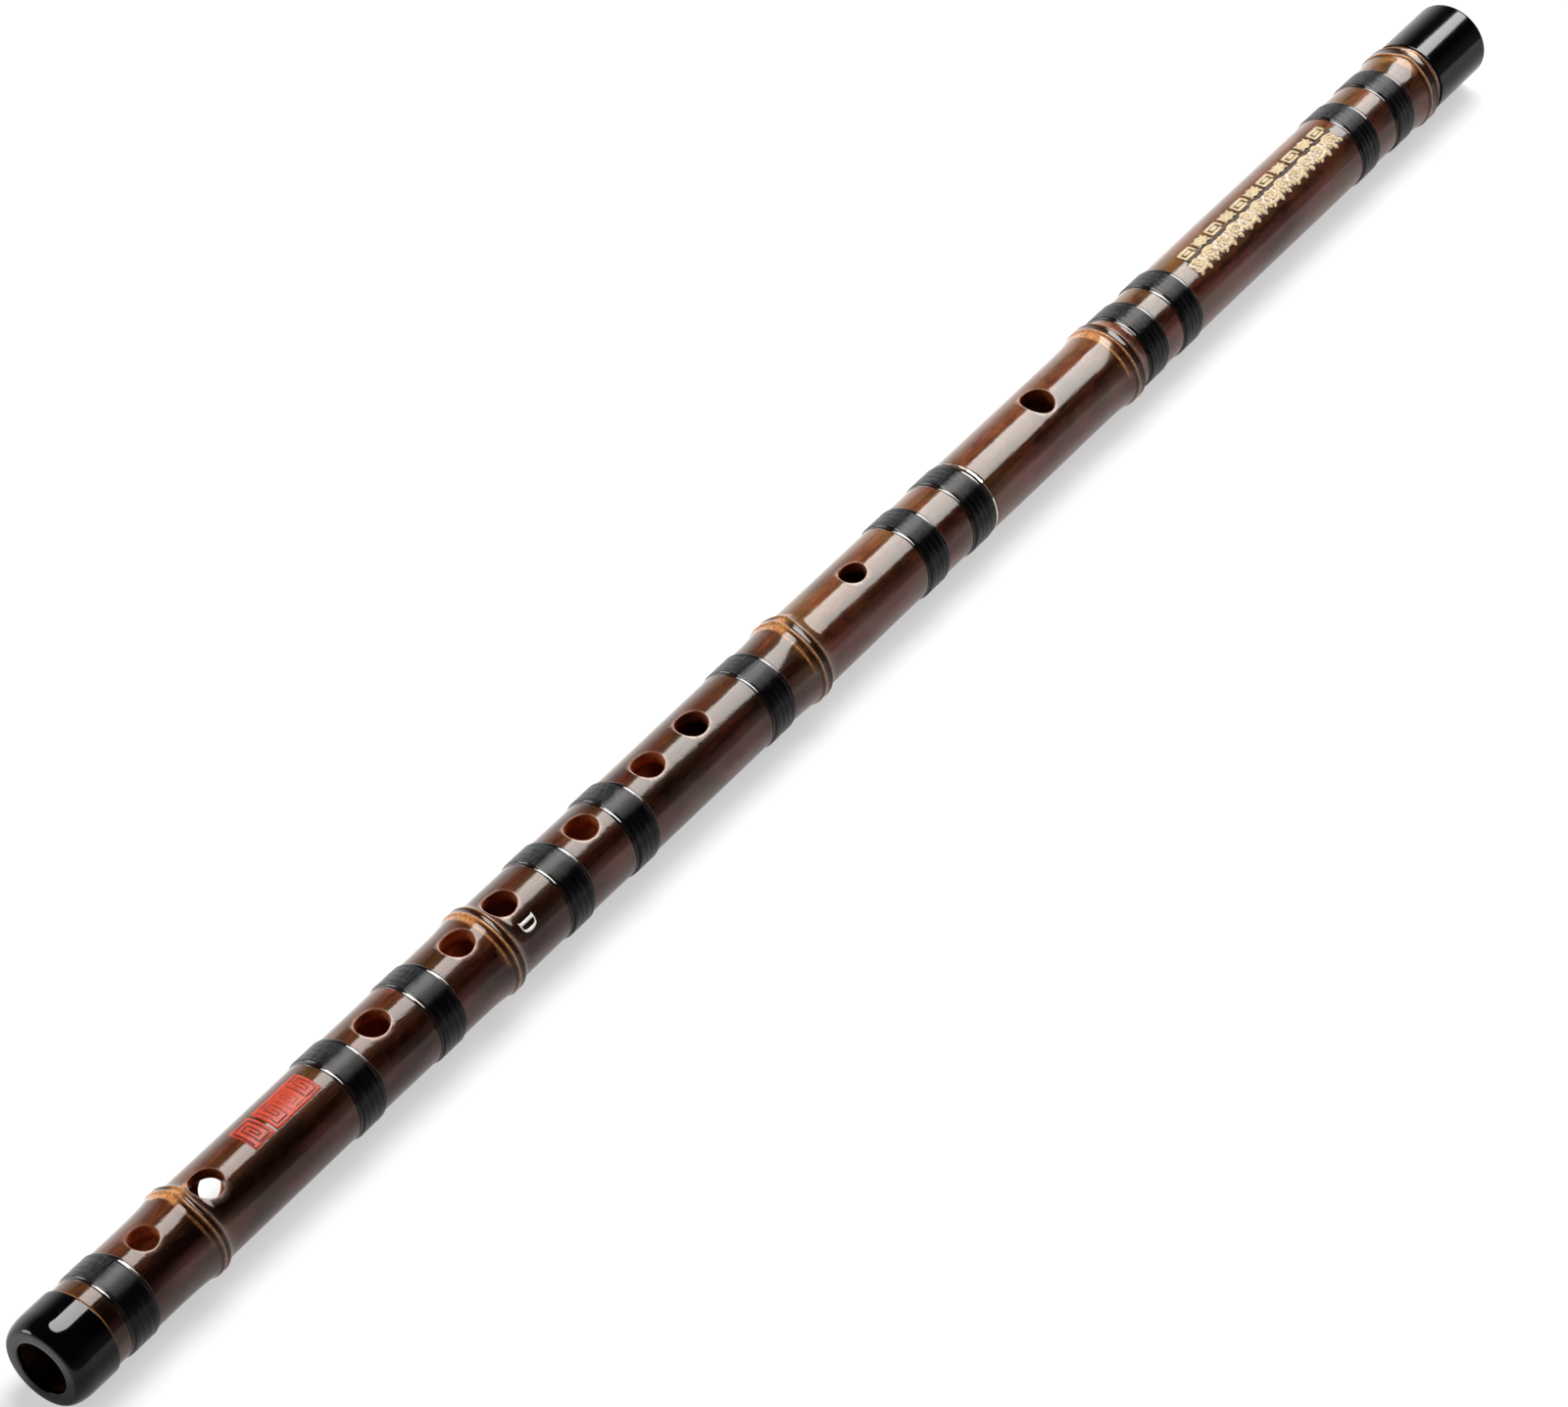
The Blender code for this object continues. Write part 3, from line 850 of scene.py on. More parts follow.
            # The rim's pale wear and painted highlight runs a little way down the wall, and painted
            # shade deepens below it
            tone["rim"] = max(0.0, 1 - 1.9 * inside) * hole.rim_wear_and_highlight(bearing)
            tone["dark"] = hole.inner_shade * blend_in(inside, 0.15, 0.65)
            ring.append(self.add(point, tone))
        return ring

    def close_end(self, ring, outline, bore_ring, flip):
        """Join the outside's last ring to the bore's, over an outline of places and radii."""
        rows = [ring]
        for place, radius, inside in outline:
            # The inner parts of the ends are darkened by painted shade
            tone = {"gold": 0.25, "inside": inside, "dark": 0.9 * inside}
            rows.append([self.add(on_flute(place, angle, radius), tone) for angle in RING_ANGLES])
        rows.append(bore_ring)
        for first, second in zip(rows, rows[1:]):
            faces = closed_strip(first, second)
            self.faces += [face[::-1] for face in faces] if flip else faces

    def build(self, name, body, foot_outline, head_outline, bore):
        """Make the piece. The outlines lead from the outside to the bore at each end."""
        wanted = {self.start, self.end, self.start + 0.4 * MM, self.end - 0.4 * MM}
        for node in self.nodes:
            for step in range(-NODE_STEPS, NODE_STEPS + 1):
                wanted.add(node + step * NODE_STEP)
        for hole in self.holes:
            wanted = {place for place in wanted if not hole.block[0] < place < hole.block[1]}
        crossings = [place for hole in self.holes for place in hole.stations()]
        wanted = [place for place in [*wanted, *crossings] if self.start <= place <= self.end]
        outer_places = filled_in(rounded_set(wanted), OUTSIDE_STEP)
        bore_places = filled_in(rounded_set([*bore, *crossings]), BORE_STEP)
        outer_grid = rings(outer_places, self.outside_point)
        bore_grid = rings(bore_places, self.inside_point)
        outer_borders = self.skin(outer_places, outer_grid, inward=False)
        inner_borders = self.skin(bore_places, bore_grid, inward=True)
        for hole, outer, inner in zip(self.holes, outer_borders, inner_borders):
            self.line_hole(hole, outer, inner)
        self.close_end(outer_grid[0], foot_outline, bore_grid[0], flip=True)
        self.close_end(outer_grid[-1], head_outline, bore_grid[-1], flip=False)
        add_mesh(name, self.points, self.faces, BAMBOO, body, (name,), self.tones)


def finger_hole(place, inner_shade, before=6.4 * MM, after=6.4 * MM):
    """A finger hole on top of the tube."""
    return Hole(place, FINGER_HOLE_SIZE, 0.0, (place - before, place + after), 15, inner_shade=inner_shade)


# Each hole: place, (length, width), angle, stretch of the tube that is re-meshed round it, half
# that stretch's columns, how pale its rim is from wear and painted highlight, and how much painted
# shade lies inside it
BODY_HOLES = (
    finger_hole(261.8 * MM, 0.60),
    finger_hole(242.3 * MM, 0.10),
    finger_hole(213.2 * MM, 0.20),
    finger_hole(178.5 * MM, 0.45, before=5.9 * MM),
    finger_hole(160.8 * MM, 0.10, after=6.2 * MM),
    finger_hole(126.3 * MM, 0.25),
    Hole(336.6 * MM, (9.2 * MM, 7.7 * MM), 0.0, (330.8 * MM, 342.4 * MM), 15, inner_shade=0.62),
    Hole(60.8 * MM, (9.9 * MM, 9.5 * MM), FRONT_VENT_ANGLE, (54.9 * MM, 66.2 * MM), 19, 0.38, 0.60),
    Hole(38.2 * MM, (8.6 * MM, 8.4 * MM), 0.0, (32.6 * MM, 43.8 * MM), 15, 0.45, 0.10),
    Hole(90.0 * MM, (9.4 * MM, 9.4 * MM), BACK_VENT_ANGLE, (84.2 * MM, 95.8 * MM), 19, inner_shade=0.4),
    Hole(72.0 * MM, (10.6 * MM, 10.2 * MM), BACK_VENT_ANGLE, (66.2 * MM, 77.8 * MM), 19, inner_shade=0.4),
)
MOUTH_HOLE = Hole(
    428.1 * MM, (10.2 * MM, 10.6 * MM), MOUTH_HOLE_ANGLE, (421.6 * MM, 434.6 * MM), 19, inner_shade=0.62,
)


def spigot_end(shoulder, tip):
    """The outline of a tube's end that steps down into its cap."""
    return [
        (shoulder, TUBE_RADIUS - EDGE_ROUNDING, 0.0),
        (shoulder, SPIGOT_RADIUS, 0.3),
        (tip, SPIGOT_RADIUS, 0.6),
        (tip, BORE_RADIUS, 1.0),
    ]


def joint_end(face, radius, bottom):
    """The outline of a tube's end at the joint, with its seat for the brass."""
    return [
        (face, TUBE_RADIUS - JOINT_EDGE, 0.0),
        (face, radius, 0.6),
        (bottom, radius, 1.0),
        (bottom, BORE_RADIUS, 1.0),
    ]


def make_body_tube():
    """The body's tube, from its spigot in the foot cap to its socket for the tenon."""
    start, end = span("body_tube")
    shoulder = span("foot_cap")[1] + CAP_GAP
    liner_start = span("socket_liner")[0] - LINER_GAP
    gold_edges = (shoulder + 0.3 * MM,)
    tube = Tube(BODY_NODES, shoulder + EDGE_ROUNDING, end - JOINT_EDGE, BODY_HOLES, gold_edges)
    foot_outline = spigot_end(shoulder, start)
    head_outline = joint_end(end, SOCKET_RADIUS, liner_start)
    bore = (start + 0.6 * MM, liner_start - 1.0 * MM)
    tube.build("body_tube", "body_section", foot_outline, head_outline, bore)
    return tube


def make_head_tube():
    """The head's tube, from its seat on the tenon to its spigot in the head cap."""
    start, end = span("head_tube")
    shoulder = span("head_cap")[0] - CAP_GAP
    tenon_end = span("tenon")[1] + TENON_GAP
    tube = Tube(HEAD_NODES, start + JOINT_EDGE, shoulder - EDGE_ROUNDING, (MOUTH_HOLE,))
    foot_outline = joint_end(start, TENON_SEAT_RADIUS, tenon_end)
    head_outline = spigot_end(shoulder, end)
    bore = (tenon_end + 1.0 * MM, end - 0.6 * MM)
    tube.build("head_tube", "head_section", foot_outline, head_outline, bore)
    return tube


def make_cap(name, outline, body):
    """Turn a closed outline of (place, radius) into a cap. It runs so that its left is inside."""
    points = []
    rows = []
    for place, radius in outline:
        if radius < 1e-9:
            rows.append(add_row(points, [on_axis(place)]) * COLUMNS)
        else:
            rows.append(add_row(points, [on_flute(place, angle, radius) for angle in RING_ANGLES]))
    faces = []
    pairs = list(zip(rows, rows[1:]))
    if outline[0][1] > 1e-9:
        pairs.append((rows[-1], rows[0]))
    for first, second in pairs:
        for corners in closed_strip(first, second):
            corners = tuple(dict.fromkeys(corners))
            if len(corners) > 2:
                faces.append(corners)
    add_mesh(name, points, faces, RESIN, body, (name,))


def rounded(place, radius, rounding, first, last, steps=8):
    """Points of a rounded corner round a centre, from one direction to another in degrees."""
    points = []
    for step in range(steps + 1):
        angle = math.radians(first + (last - first) * step / steps)
        points.append((place + rounding * math.cos(angle), radius + rounding * math.sin(angle)))
    return points


def make_foot_cap():
    """The open black ring on the foot end, with a broad rounded rim."""
    start, end = span("foot_cap")
    radius = FOOT_CAP_RADIUS
    inside = SPIGOT_RADIUS + CAP_CLEARANCE
    lip = start + FOOT_CAP_LIP
    small = 0.5 * MM
    edge = EDGE_ROUNDING
    run, drop = FOOT_CAP_RIM
    outline = []
    for step in range(25):
        angle = math.pi / 2 * (1 - step / 24)
        outline.append((start + run * (1 - math.sin(angle)), radius - drop * (1 - math.cos(angle))))
    outline += [(start + run + 0.6 * MM, radius), (end - edge - 0.15 * MM, radius)]
    outline += rounded(end - edge, radius - edge, edge, 90, 0, 4)
    outline += [(end, inside), (lip, inside), (lip, FOOT_CAP_MOUTH)]
    outline += rounded(start + small, FOOT_CAP_MOUTH + small, small, 270, 180, 6)
    make_cap("foot_cap", outline, "body_section")


def make_head_cap():
    """The closed black cap on the head end."""
    start, end = span("head_cap")
    radius = HEAD_CAP_RADIUS
    rounding = HEAD_CAP_ROUNDING
    edge = EDGE_ROUNDING
    inside = SPIGOT_RADIUS + CAP_CLEARANCE
    floor = end - HEAD_CAP_WALL
    outline = [(floor, 0.0), (floor, inside), (start, inside)]
    outline += rounded(start + edge, radius - edge, edge, 180, 90, 4)
    outline += [(start + edge + 0.15 * MM, radius), (end - rounding - 0.15 * MM, radius)]
    outline += rounded(end - rounding, radius - rounding, rounding, 90, 0, 8)
    outline += [(end + 0.05 * MM, 6.0 * MM), (end + 0.06 * MM, 0.0)]
    make_cap("head_cap", outline, "head_section")


# Windings

def make_winding(name, body):
    """One winding: a helix of thread, side by side turns, as one closed mesh."""
    start, end = span(name)
    low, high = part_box(name)
    crest = (high.y - low.y) / 2
    turns = math.ceil((end - start) / THREAD_PITCH)
    rows = THREAD_STEPS * (turns + 1) + 1
    points = []
    grid = []
    for column in range(THREAD_COLUMNS):
        around = column / THREAD_COLUMNS
        angle = 2 * math.pi * around
        line = [on_flute(start, angle, THREAD_CORE)]
        for row in range(rows):
            place = start + THREAD_PITCH * (row / THREAD_STEPS - 1 + around)
            place = min(max(place, start), end)
            phase = ((place - start) / THREAD_PITCH - around + 1) % 1.0
            swell = math.sqrt(max(0.0, 1 - (2 * phase - 1) ** 2))
            edge = min(place - start, end - place) / EDGE_WIDTH
            shoulder = EDGE_DROP * max(0.0, 1 - edge) ** 2
            bands = math.sin(place * 3100 + 1.3 * math.sin(2 * angle) + 40 * start)
            lumps = math.sin(5 * angle + 900 * start) * math.sin(place * 1300 + 2 * angle)
            radius = crest - THREAD_DEPTH * (1 - swell) - shoulder - THREAD_LUMPS * (2 + bands + lumps)
            line.append(on_flute(place, angle, radius))
        line.append(on_flute(end, angle, THREAD_CORE))
        grid.append(add_row(points, line))
    faces = []
    last = len(grid[0]) - 1
    for column in range(THREAD_COLUMNS):
        here = grid[column]
        if column + 1 < THREAD_COLUMNS:
            following = grid[column + 1]
        else:
            # The last column meets the first one turn further on
            first = grid[0]
            shifted = [first[min(row + THREAD_STEPS, last - 1)] for row in range(1, last)]
            following = [first[0], *shifted, first[last]]
        for row in range(last):
            faces.append((here[row], following[row], following[row + 1], here[row + 1]))
        faces.append((here[last], following[last], following[0], here[0]))
    piece = add_mesh(name, points, faces, THREAD, body, (name,))
    tidy_mesh(piece.data)


def tidy_mesh(mesh):
    """Merge the points that fall together at a mesh's clamped edges, and drop empty faces."""
    work = bmesh.new()
    work.from_mesh(mesh)
    bmesh.ops.remove_doubles(work, verts=work.verts, dist=MERGE_DISTANCE)
    bmesh.ops.dissolve_degenerate(work, edges=work.edges, dist=MERGE_DISTANCE)
    bmesh.ops.recalc_face_normals(work, faces=work.faces)
    work.to_mesh(mesh)
    work.free()
    mesh.shade_smooth()


def make_fillets(name, body, tube):
    """The two beads of lacquer beside a winding."""
    start, end = span(name)
    points = []
    faces = []
    for place, way in ((start, -1), (end, 1)):
        rows = []
        for part, height in BEAD_PROFILE:
            ring = []
            for angle in THREAD_ANGLES:
                wander = 0.14 * math.sin(3 * angle + place * 900)
                wander += 0.09 * math.sin(7 * angle + place * 500)
                here = place + way * (BEAD_RUN + wander) * MM * part
                ring.append(on_flute(here, angle, tube.radius(here, angle) + height * MM))
            rows.append(add_row(points, ring))
        for first, second in zip(rows, rows[1:] + rows[:1]):
            strip = closed_strip(first, second)
            faces += strip if way > 0 else [face[::-1] for face in strip]
    add_mesh(name + "_lacquer", points, faces, LACQUER, body)


def dress_plain_nodes():
    """Give the carried-over CAD nodes their materials."""
    looks = {"tenon": BRASS, "socket_liner": BRASS, "joint_ring": NICKEL, "stopper": CORK}
    for name, material in looks.items():
        node = frame["nodes"][name]
        node.data.materials.clear()
        node.data.materials.append(material)


def make_bindings(tubes):
    """Every winding with its lacquer."""
    for body, nodes in frame["record"]["behaviour"]["bodies"].items():
        for name in nodes:
            if name.startswith("binding"):
                make_winding(name, body)
                make_fillets(name, body, tubes[body])


# Painted relief. A point of a drawing is (place, across), in millimetres: the place along the
# flute, and the distance round it from the line of the holes, positive towards -Y.

def smooth_path(points, steps=6):
    """A smooth curve through points."""
    padded = [points[0]] + list(points) + [points[-1]]
    path = []
    for before, first, second, after in zip(padded, padded[1:], padded[2:], padded[3:]):
        for step in range(steps):
            t = step / steps
            point = []
            for a, b, c, d in zip(before, first, second, after):
                curve = 2 * b + (c - a) * t + (2 * a - 5 * b + 4 * c - d) * t * t
                point.append((curve + (3 * b - a - 3 * c + d) * t ** 3) / 2)
            path.append(tuple(point))
    return path + [points[-1]]


def smooth_loop(points, steps=6):
    """A smooth closed curve through points."""
    count = len(points)
    turned = [points[(number - 1) % count] for number in range(count + 3)]
    path = smooth_path(turned, steps)
    return path[steps:-1 - steps]


def straight_path(points, longest=0.8):
    """Straight runs through points, cut into short steps."""
    path = []
    for (x0, y0), (x1, y1) in zip(points, points[1:]):
        steps = max(1, math.ceil(math.hypot(x1 - x0, y1 - y0) / longest))
        for step in range(steps):
            path.append((x0 + (x1 - x0) * step / steps, y0 + (y1 - y0) * step / steps))
    return path + [points[-1]]


def spiral_path(x, y, outer, inner, start, turns, steps=14):
    """A spiral about a point, from its outer end. Negative turns run the other way."""
    count = max(2, round(abs(turns) * steps))
    path = []
    for step in range(count + 1):
        part = step / count
        radius = outer + (inner - outer) * part ** 0.8
        angle = math.radians(start) + 2 * math.pi * turns * part
        path.append((x + radius * math.cos(angle), y + radius * math.sin(angle)))
    return path


def ribbon(path, widths):
    """Both edges of a ribbon along a path. Its width goes through the widths in even steps."""
    edges = []
    for number, (x, y) in enumerate(path):
        before = path[max(number - 1, 0)]
        after = path[min(number + 1, len(path) - 1)]
        dx, dy = after[0] - before[0], after[1] - before[1]
        length = math.hypot(dx, dy) or 1.0
        spot = number / (len(path) - 1) * (len(widths) - 1)
        low = min(int(spot), len(widths) - 2)
        half = (widths[low] + (widths[low + 1] - widths[low]) * (spot - low)) / 2
        aside, along = -dy / length * half, dx / length * half
        edges.append(((x + aside, y + along), (x - aside, y - along)))
    return edges


def stroke(points, *widths):
    """A stroke of a drawing with straight runs: its path, and its widths along it."""
    return straight_path(points), widths


def make_relief(name, strokes, tube, rise, material, body):
    """Raise a drawing's strokes over a tube's outside as thin closed strips of paint."""
    points = []
    faces = []
    edge = rise * 0.6
    for path, widths in strokes:
        rows = []
        for left, right in ribbon(path, widths):
            middle = ((left[0] + right[0]) / 2, (left[1] + right[1]) / 2)
            section = ((left, SINK), (left, edge), (middle, rise), (right, edge), (right, SINK))
            row = [tube.painted_point(x, y, height) for (x, y), height in section]
            rows.append(add_row(points, row))
        faces += closed_rows(rows)
    add_mesh(name, points, faces, material, body)


def make_letter(tube):
    """The key letter, read with its top towards the head."""
    foot, top = LETTER_ALONG
    left, right = LETTER_ROUND
    middle = (foot + top) / 2
    stem = left + 0.75
    strokes = [
        stroke([(foot + 0.05, stem), (top - 0.05, stem)], 0.95, 0.95),
        stroke([(foot + 0.16, left), (foot + 0.16, left + 1.9)], 0.34, 0.34),
        stroke([(top - 0.16, left), (top - 0.16, left + 1.9)], 0.34, 0.34),
    ]
    bowl = [
        (foot + 0.20, stem), (foot + 0.28, left + 2.0), (foot + 0.95, right - 0.72),
        (middle, right - 0.42), (top - 0.95, right - 0.72), (top - 0.28, left + 2.0),
        (top - 0.20, stem),
    ]
    strokes.append((smooth_path(bowl), (0.30, 0.36, 0.72, 0.98, 0.72, 0.36, 0.30)))
    make_relief("key_letter", strokes, tube, LETTER_RISE, WHITE_PAINT, "body_section")


def make_patch(name, outline, tube, rise, material, body):
    """A thin closed sheet of paint between two edges, given as (place, near side, far side)."""
    points = []
    rows = []
    for x, first, last in outline:
        row = []
        for step in range(PATCH_STEPS + 1):
            y = first + (last - first) * step / PATCH_STEPS
            edge = step in (0, PATCH_STEPS) or (x, first, last) in (outline[0], outline[-1])
            row.append(tube.painted_point(x, y, rise * (0.4 if edge else 1.0)))
        row += [tube.painted_point(x, y, SINK) for y in (last, first)]
        rows.append(add_row(points, row))
    add_mesh(name, points, closed_rows(rows), material, body)


def make_seals(tube):
    """Two red blocks with fretwork cut into them."""
    first, last = SEALS_ROUND
    middle = (first + last) / 2
    for number, (start, end) in enumerate(SEALS_ALONG, 1):
        steps = round((end - start) / 0.6)
        outline = []
        for step in range(steps + 1):
            x = start + (end - start) * step / steps
            wear = 0.16 * math.sin(x * 5.1) + 0.10 * math.sin(x * 11.3)
            outline.append((x, first + wear, last - wear * 0.8))
        name = f"red_seal_{number}"
        make_patch(name, outline, tube, SEAL_RISE, RED_PAINT, "body_section")
    small = [
        (77.3, 2.6), (77.3, -4.6), (82.9, -4.6), (82.9, 2.7), (78.9, 2.7), (78.9, -3.1),
        (81.3, -3.1), (81.3, 1.2), (80.1, 1.2), (80.1, -1.6),
    ]
    strokes = [stroke(small, 0.95, 0.80)]
    turns = (
        (0.0, -3.4), (0.0, 3.4), (3.9, 3.4), (3.9, -2.2), (1.5, -2.2), (1.5, 1.9), (2.7, 1.9),
        (2.7, -0.9),
    )
    for start, flip, width in ((86.1, 1, 0.60), (91.6, -1, 0.26), (97.1, 1, 0.60)):
        for corners in (turns, ((1.6, -3.5), (4.8, -3.5))):
            moved = [(start + x, middle + y * flip) for x, y in corners]
            strokes.append(stroke(moved, width, width * 0.8))
    paint = DARK_RED_PAINT
    make_relief("red_seal_lines", strokes, tube, SEAL_LINE_RISE, paint, "body_section")


def ornament_row():
    """The gold row nearest the holes' line: small blocks of fretwork, turn about."""
    strokes = []
    far, near = ROW_ROUND
    middle = (far + near) / 2
    for number in range(ROW_BLOCKS):
        x = ROW_START + ROW_PITCH * number
        if number % 2:
            lozenge = [
                (x + 0.6, middle), (x + 3.3, near - 0.35), (x + 6.0, middle), (x + 3.3, far + 0.35),
                (x + 0.6, middle),
            ]
            strokes.append(stroke(lozenge, 1.30, 1.30))
            strokes.append(stroke([(x + 1.9, middle), (x + 4.7, middle)], 0.5, 1.6, 0.5))
            for corner, way in ((x + 0.5, 1), (x + 6.1, -1)):
                for side, turn in ((far + 0.35, 1), (near - 0.35, -1)):
                    tip = (corner + way * 1.3, side + turn * 0.15)
                    strokes.append(stroke([(corner, side), tip], 1.1, 0.35))
        else:
            fret = [
                (x + 5.2, near - 0.4), (x + 0.6, near - 0.4), (x + 0.6, far + 0.4),
                (x + 6.1, far + 0.4), (x + 6.1, near - 0.6),
            ]
            strokes.append(stroke(fret, 1.05, 1.05))
            strokes.append(stroke([(x + 1.8, middle), (x + 4.9, middle)], 1.25, 1.25))
    return strokes


def ornament_waves():
    """The gold scrolls: curling waves with leaves along their far edge."""
    strokes = []
    for number in range(WAVES):
        x = WAVE_START + WAVE_PITCH * number
        sway = 0.30 * math.sin(number * 2.1)
        curls = (1.10, 1.0, 0.8, 0.9)
        strokes.append((spiral_path(x + 3.5, 3.7 + sway, 2.0, 0.3, 200, 1.6), curls))
        strokes.append((spiral_path(x + 10.1, 3.9 - sway, 2.1, 0.3, 20, -1.6), curls))
        wave = [
            (x + 0.2, 5.2), (x + 2.2, 5.8), (x + 5.2, 5.5), (x + 6.8, 3.9),
            (x + 8.1, 2.2), (x + 10.6, 1.75), (x + 13.5, 2.5),
        ]
        strokes.append((smooth_path(wave), (0.6, 1.1, 1.25, 1.1, 1.2, 0.9, 0.6)))
        for start, end, fat in (
            ((x + 1.9, 5.5), (x + 1.0, 7.1), 1.9), ((x + 5.3, 5.4), (x + 5.7, 7.5), 2.1),
            ((x + 9.2, 5.4), (x + 10.3, 7.2), 1.9), ((x + 12.6, 4.8), (x + 13.7, 6.6), 1.7),
            ((x + 7.4, 4.5), (x + 8.1, 6.1), 1.5), ((x + 6.3, 1.9), (x + 7.0, 3.2), 1.1),
            ((x + 0.3, 3.2), (x + 0.9, 4.6), 1.1),
        ):
            bend = ((start[0] + end[0]) / 2 + 0.35, (start[1] + end[1]) / 2)
            strokes.append((smooth_path([start, bend, end], 4), (0.3, fat, fat * 0.8, 0.12)))
    return strokes


def make_ornament(tube):
    """The gold band: a worn gold ground, dark lines and bright strokes."""
    near, far = ORNAMENT_ROUND
    outline = []
    for step in range(ORNAMENT_STEPS + 1):
        x = ORNAMENT_START + ORNAMENT_LENGTH * step / ORNAMENT_STEPS
        ragged = far + 0.40 * math.sin(x * 2.3) + 0.30 * math.sin(x * 4.9 + 1.0)
        outline.append((x, near, ragged))
    # A dark sheet of painted shade shows beyond the gold ground's edges
    shade = [(x, 1.5, last + 0.55) for x, first, last in outline]
    for name, edges, rise, paint in (
        ("shade", shade, SHADE_RISE, DARK_PAINT), ("ground", outline, GROUND_RISE, BEIGE_PAINT),
    ):
        make_patch(f"ornament_{name}", edges, tube, rise, paint, "head_section")
    divider = stroke([(506.6, 1.15), (586.6, 1.15)], 0.1, 0.1)
    drawings = (("row", ornament_row(), [divider], 0.8), ("waves", ornament_waves(), [], 0.46))
    for name, gold, under, grow in drawings:
        dark = [(path, [width + grow for width in widths]) for path, widths in gold + under]
        for kind, strokes, rise, paint in (
            ("lines", dark, DARK_LINE_RISE, DARK_PAINT), ("gold", gold, GOLD_RISE, GOLD_PAINT),
        ):
            piece = f"ornament_{name}_{kind}"
            make_relief(piece, strokes, tube, rise, paint, "head_section")


# Stage

def make_camera():
    """The camera at the photograph's viewing angle."""
    towards = outward(CAMERA_ROUND)
    across = sideways(CAMERA_ROUND)
    along = Vector((1, 0, 0))
    ahead = along * math.sin(CAMERA_SWING) - towards * math.cos(CAMERA_SWING)
    sight = ahead * math.cos(CAMERA_DROP) + across * math.sin(CAMERA_DROP)
    down = across * math.cos(CAMERA_DROP) - ahead * math.sin(CAMERA_DROP)
    flat = along * math.cos(CAMERA_SWING) + towards * math.sin(CAMERA_SWING)
    right = flat * math.cos(CAMERA_ROLL) + down * math.sin(CAMERA_ROLL)
    up = flat * math.sin(CAMERA_ROLL) - down * math.cos(CAMERA_ROLL)
    place = on_axis(-CAMERA_BEYOND_FOOT) + towards * CAMERA_DISTANCE
    data = bpy.data.cameras.new("camera")
    data.sensor_fit = "HORIZONTAL"
    data.sensor_width = CAMERA_SENSOR
    data.lens = CAMERA_LENS
    camera = bpy.data.objects.new("camera", data)
    bpy.context.scene.collection.objects.link(camera)
    turn = Matrix((right, up, -sight)).transposed().to_4x4()
    camera.matrix_world = Matrix.Translation(place) @ turn
    bpy.context.scene.camera = camera


def make_sheet(name, corners, material):
    """A flat stage mesh."""
    mesh = bpy.data.meshes.new(name)
    mesh.from_pydata(corners, [], [tuple(range(len(corners)))])
    mesh.materials.append(material)
    sheet = bpy.data.objects.new(name, mesh)
    bpy.context.scene.collection.objects.link(sheet)


def make_floor():
    """A wide plain pale floor, part of its white its own so that the shadow stays light."""
    shader = Shader("floor")
    ray = shader.node("LightPath").outputs
    seen = ray["Is Camera Ray"]
    for name in ("Is Glossy Ray", "Is Transmission Ray"):
        seen = shader.maths("MAXIMUM", seen, ray[name])
    amount = shader.maths("MULTIPLY", seen, FLOOR_OWN_WHITE)
    paint = shader.node("BsdfDiffuse", Color=FLOOR_COLOUR).outputs[0]
    white = shader.node("Emission").outputs[0]
    shader.show(shader.node("MixShader", amount, paint, white))
    turns = ((-1, -1), (1, -1), (1, 1), (-1, 1))
    corners = [(x * FLOOR_HALF, y * FLOOR_HALF, -FLOOR_DROP) for x, y in turns]
    make_sheet("floor", corners, shader.material)


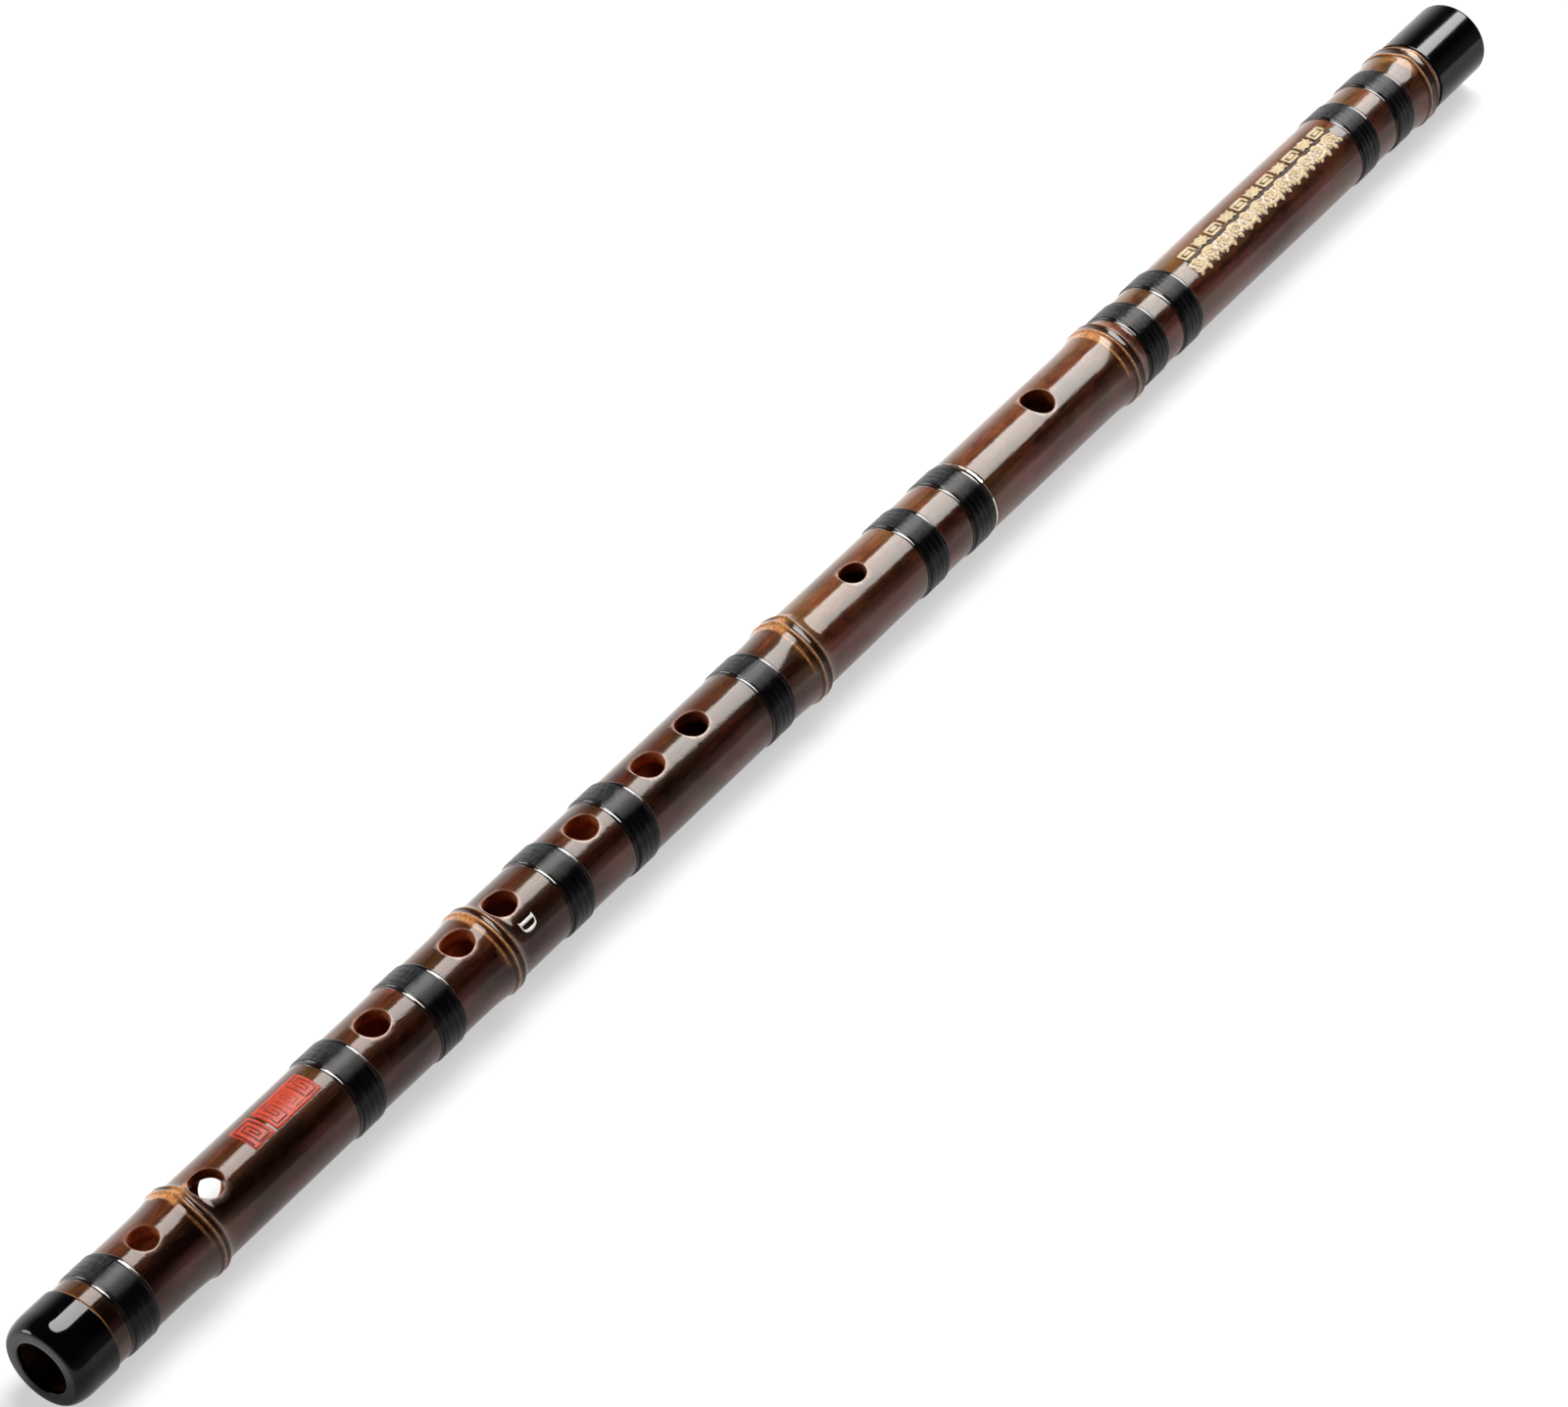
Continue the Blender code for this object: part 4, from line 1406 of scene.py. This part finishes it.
def make_softbox():
    """The broad overhead light, far off so that it lights the floor evenly."""
    shader = Shader("softbox")
    limits = [slope * SOFTBOX_HEIGHT for slope in SOFTBOX_SLOPES_Y]
    strength = shader.spread(shader.place["Y"], *limits, *SOFTBOX_GLOW)
    shader.show(shader.node("Emission", Color=SOFTBOX_COLOUR, Strength=strength))
    outline = smooth_loop(SOFTBOX_OUTLINE)
    corners = [(x * SOFTBOX_HEIGHT, y * SOFTBOX_HEIGHT, SOFTBOX_HEIGHT) for x, y in outline]
    make_sheet("softbox", corners, shader.material)


def make_world():
    """Dark overhead, with a pale backdrop low on the side behind the flute."""
    world = bpy.data.worlds.new("studio")
    bpy.context.scene.world = world
    world.use_nodes = True
    tree = world.node_tree
    place = tree.nodes.new("ShaderNodeTexCoord")
    split = tree.nodes.new("ShaderNodeSeparateXYZ")
    tree.links.new(place.outputs["Generated"], split.inputs[0])
    product = tree.nodes.new("ShaderNodeMath")
    product.operation = "MULTIPLY"
    limits = (WORLD_BY_HEIGHT, WORLD_BY_SIDE)
    for axis, values, socket in zip(("Z", "Y"), limits, product.inputs):
        fade = tree.nodes.new("ShaderNodeMapRange")
        fade.interpolation_type = "SMOOTHSTEP"
        for number, value in enumerate(values, 1):
            fade.inputs[number].default_value = value
        tree.links.new(split.outputs[axis], fade.inputs[0])
        tree.links.new(fade.outputs[0], socket)
    background = tree.nodes["Background"].inputs
    tree.links.new(product.outputs[0], background["Strength"])
    background["Color"].default_value = (1.0, 1.0, 1.0, 1.0)


def make_lights():
    """The softbox, a weak lamp from behind the foot, and the world."""
    make_softbox()
    lamp = bpy.data.lights.new("kicker", "SUN")
    lamp.energy = KICKER_ENERGY
    lamp.angle = KICKER_SPREAD
    light = bpy.data.objects.new("kicker", lamp)
    light.rotation_euler = Vector(KICKER_FROM).to_track_quat("Z", "Y").to_euler()
    bpy.context.scene.collection.objects.link(light)
    make_world()
    bpy.context.scene.view_settings.view_transform = "Standard"


make_camera()
body = make_body_tube()
head = make_head_tube()
make_foot_cap()
make_head_cap()
make_bindings({"body_section": body, "head_section": head})
make_letter(body)
make_seals(body)
make_ornament(head)
dress_plain_nodes()
make_floor()
make_lights()
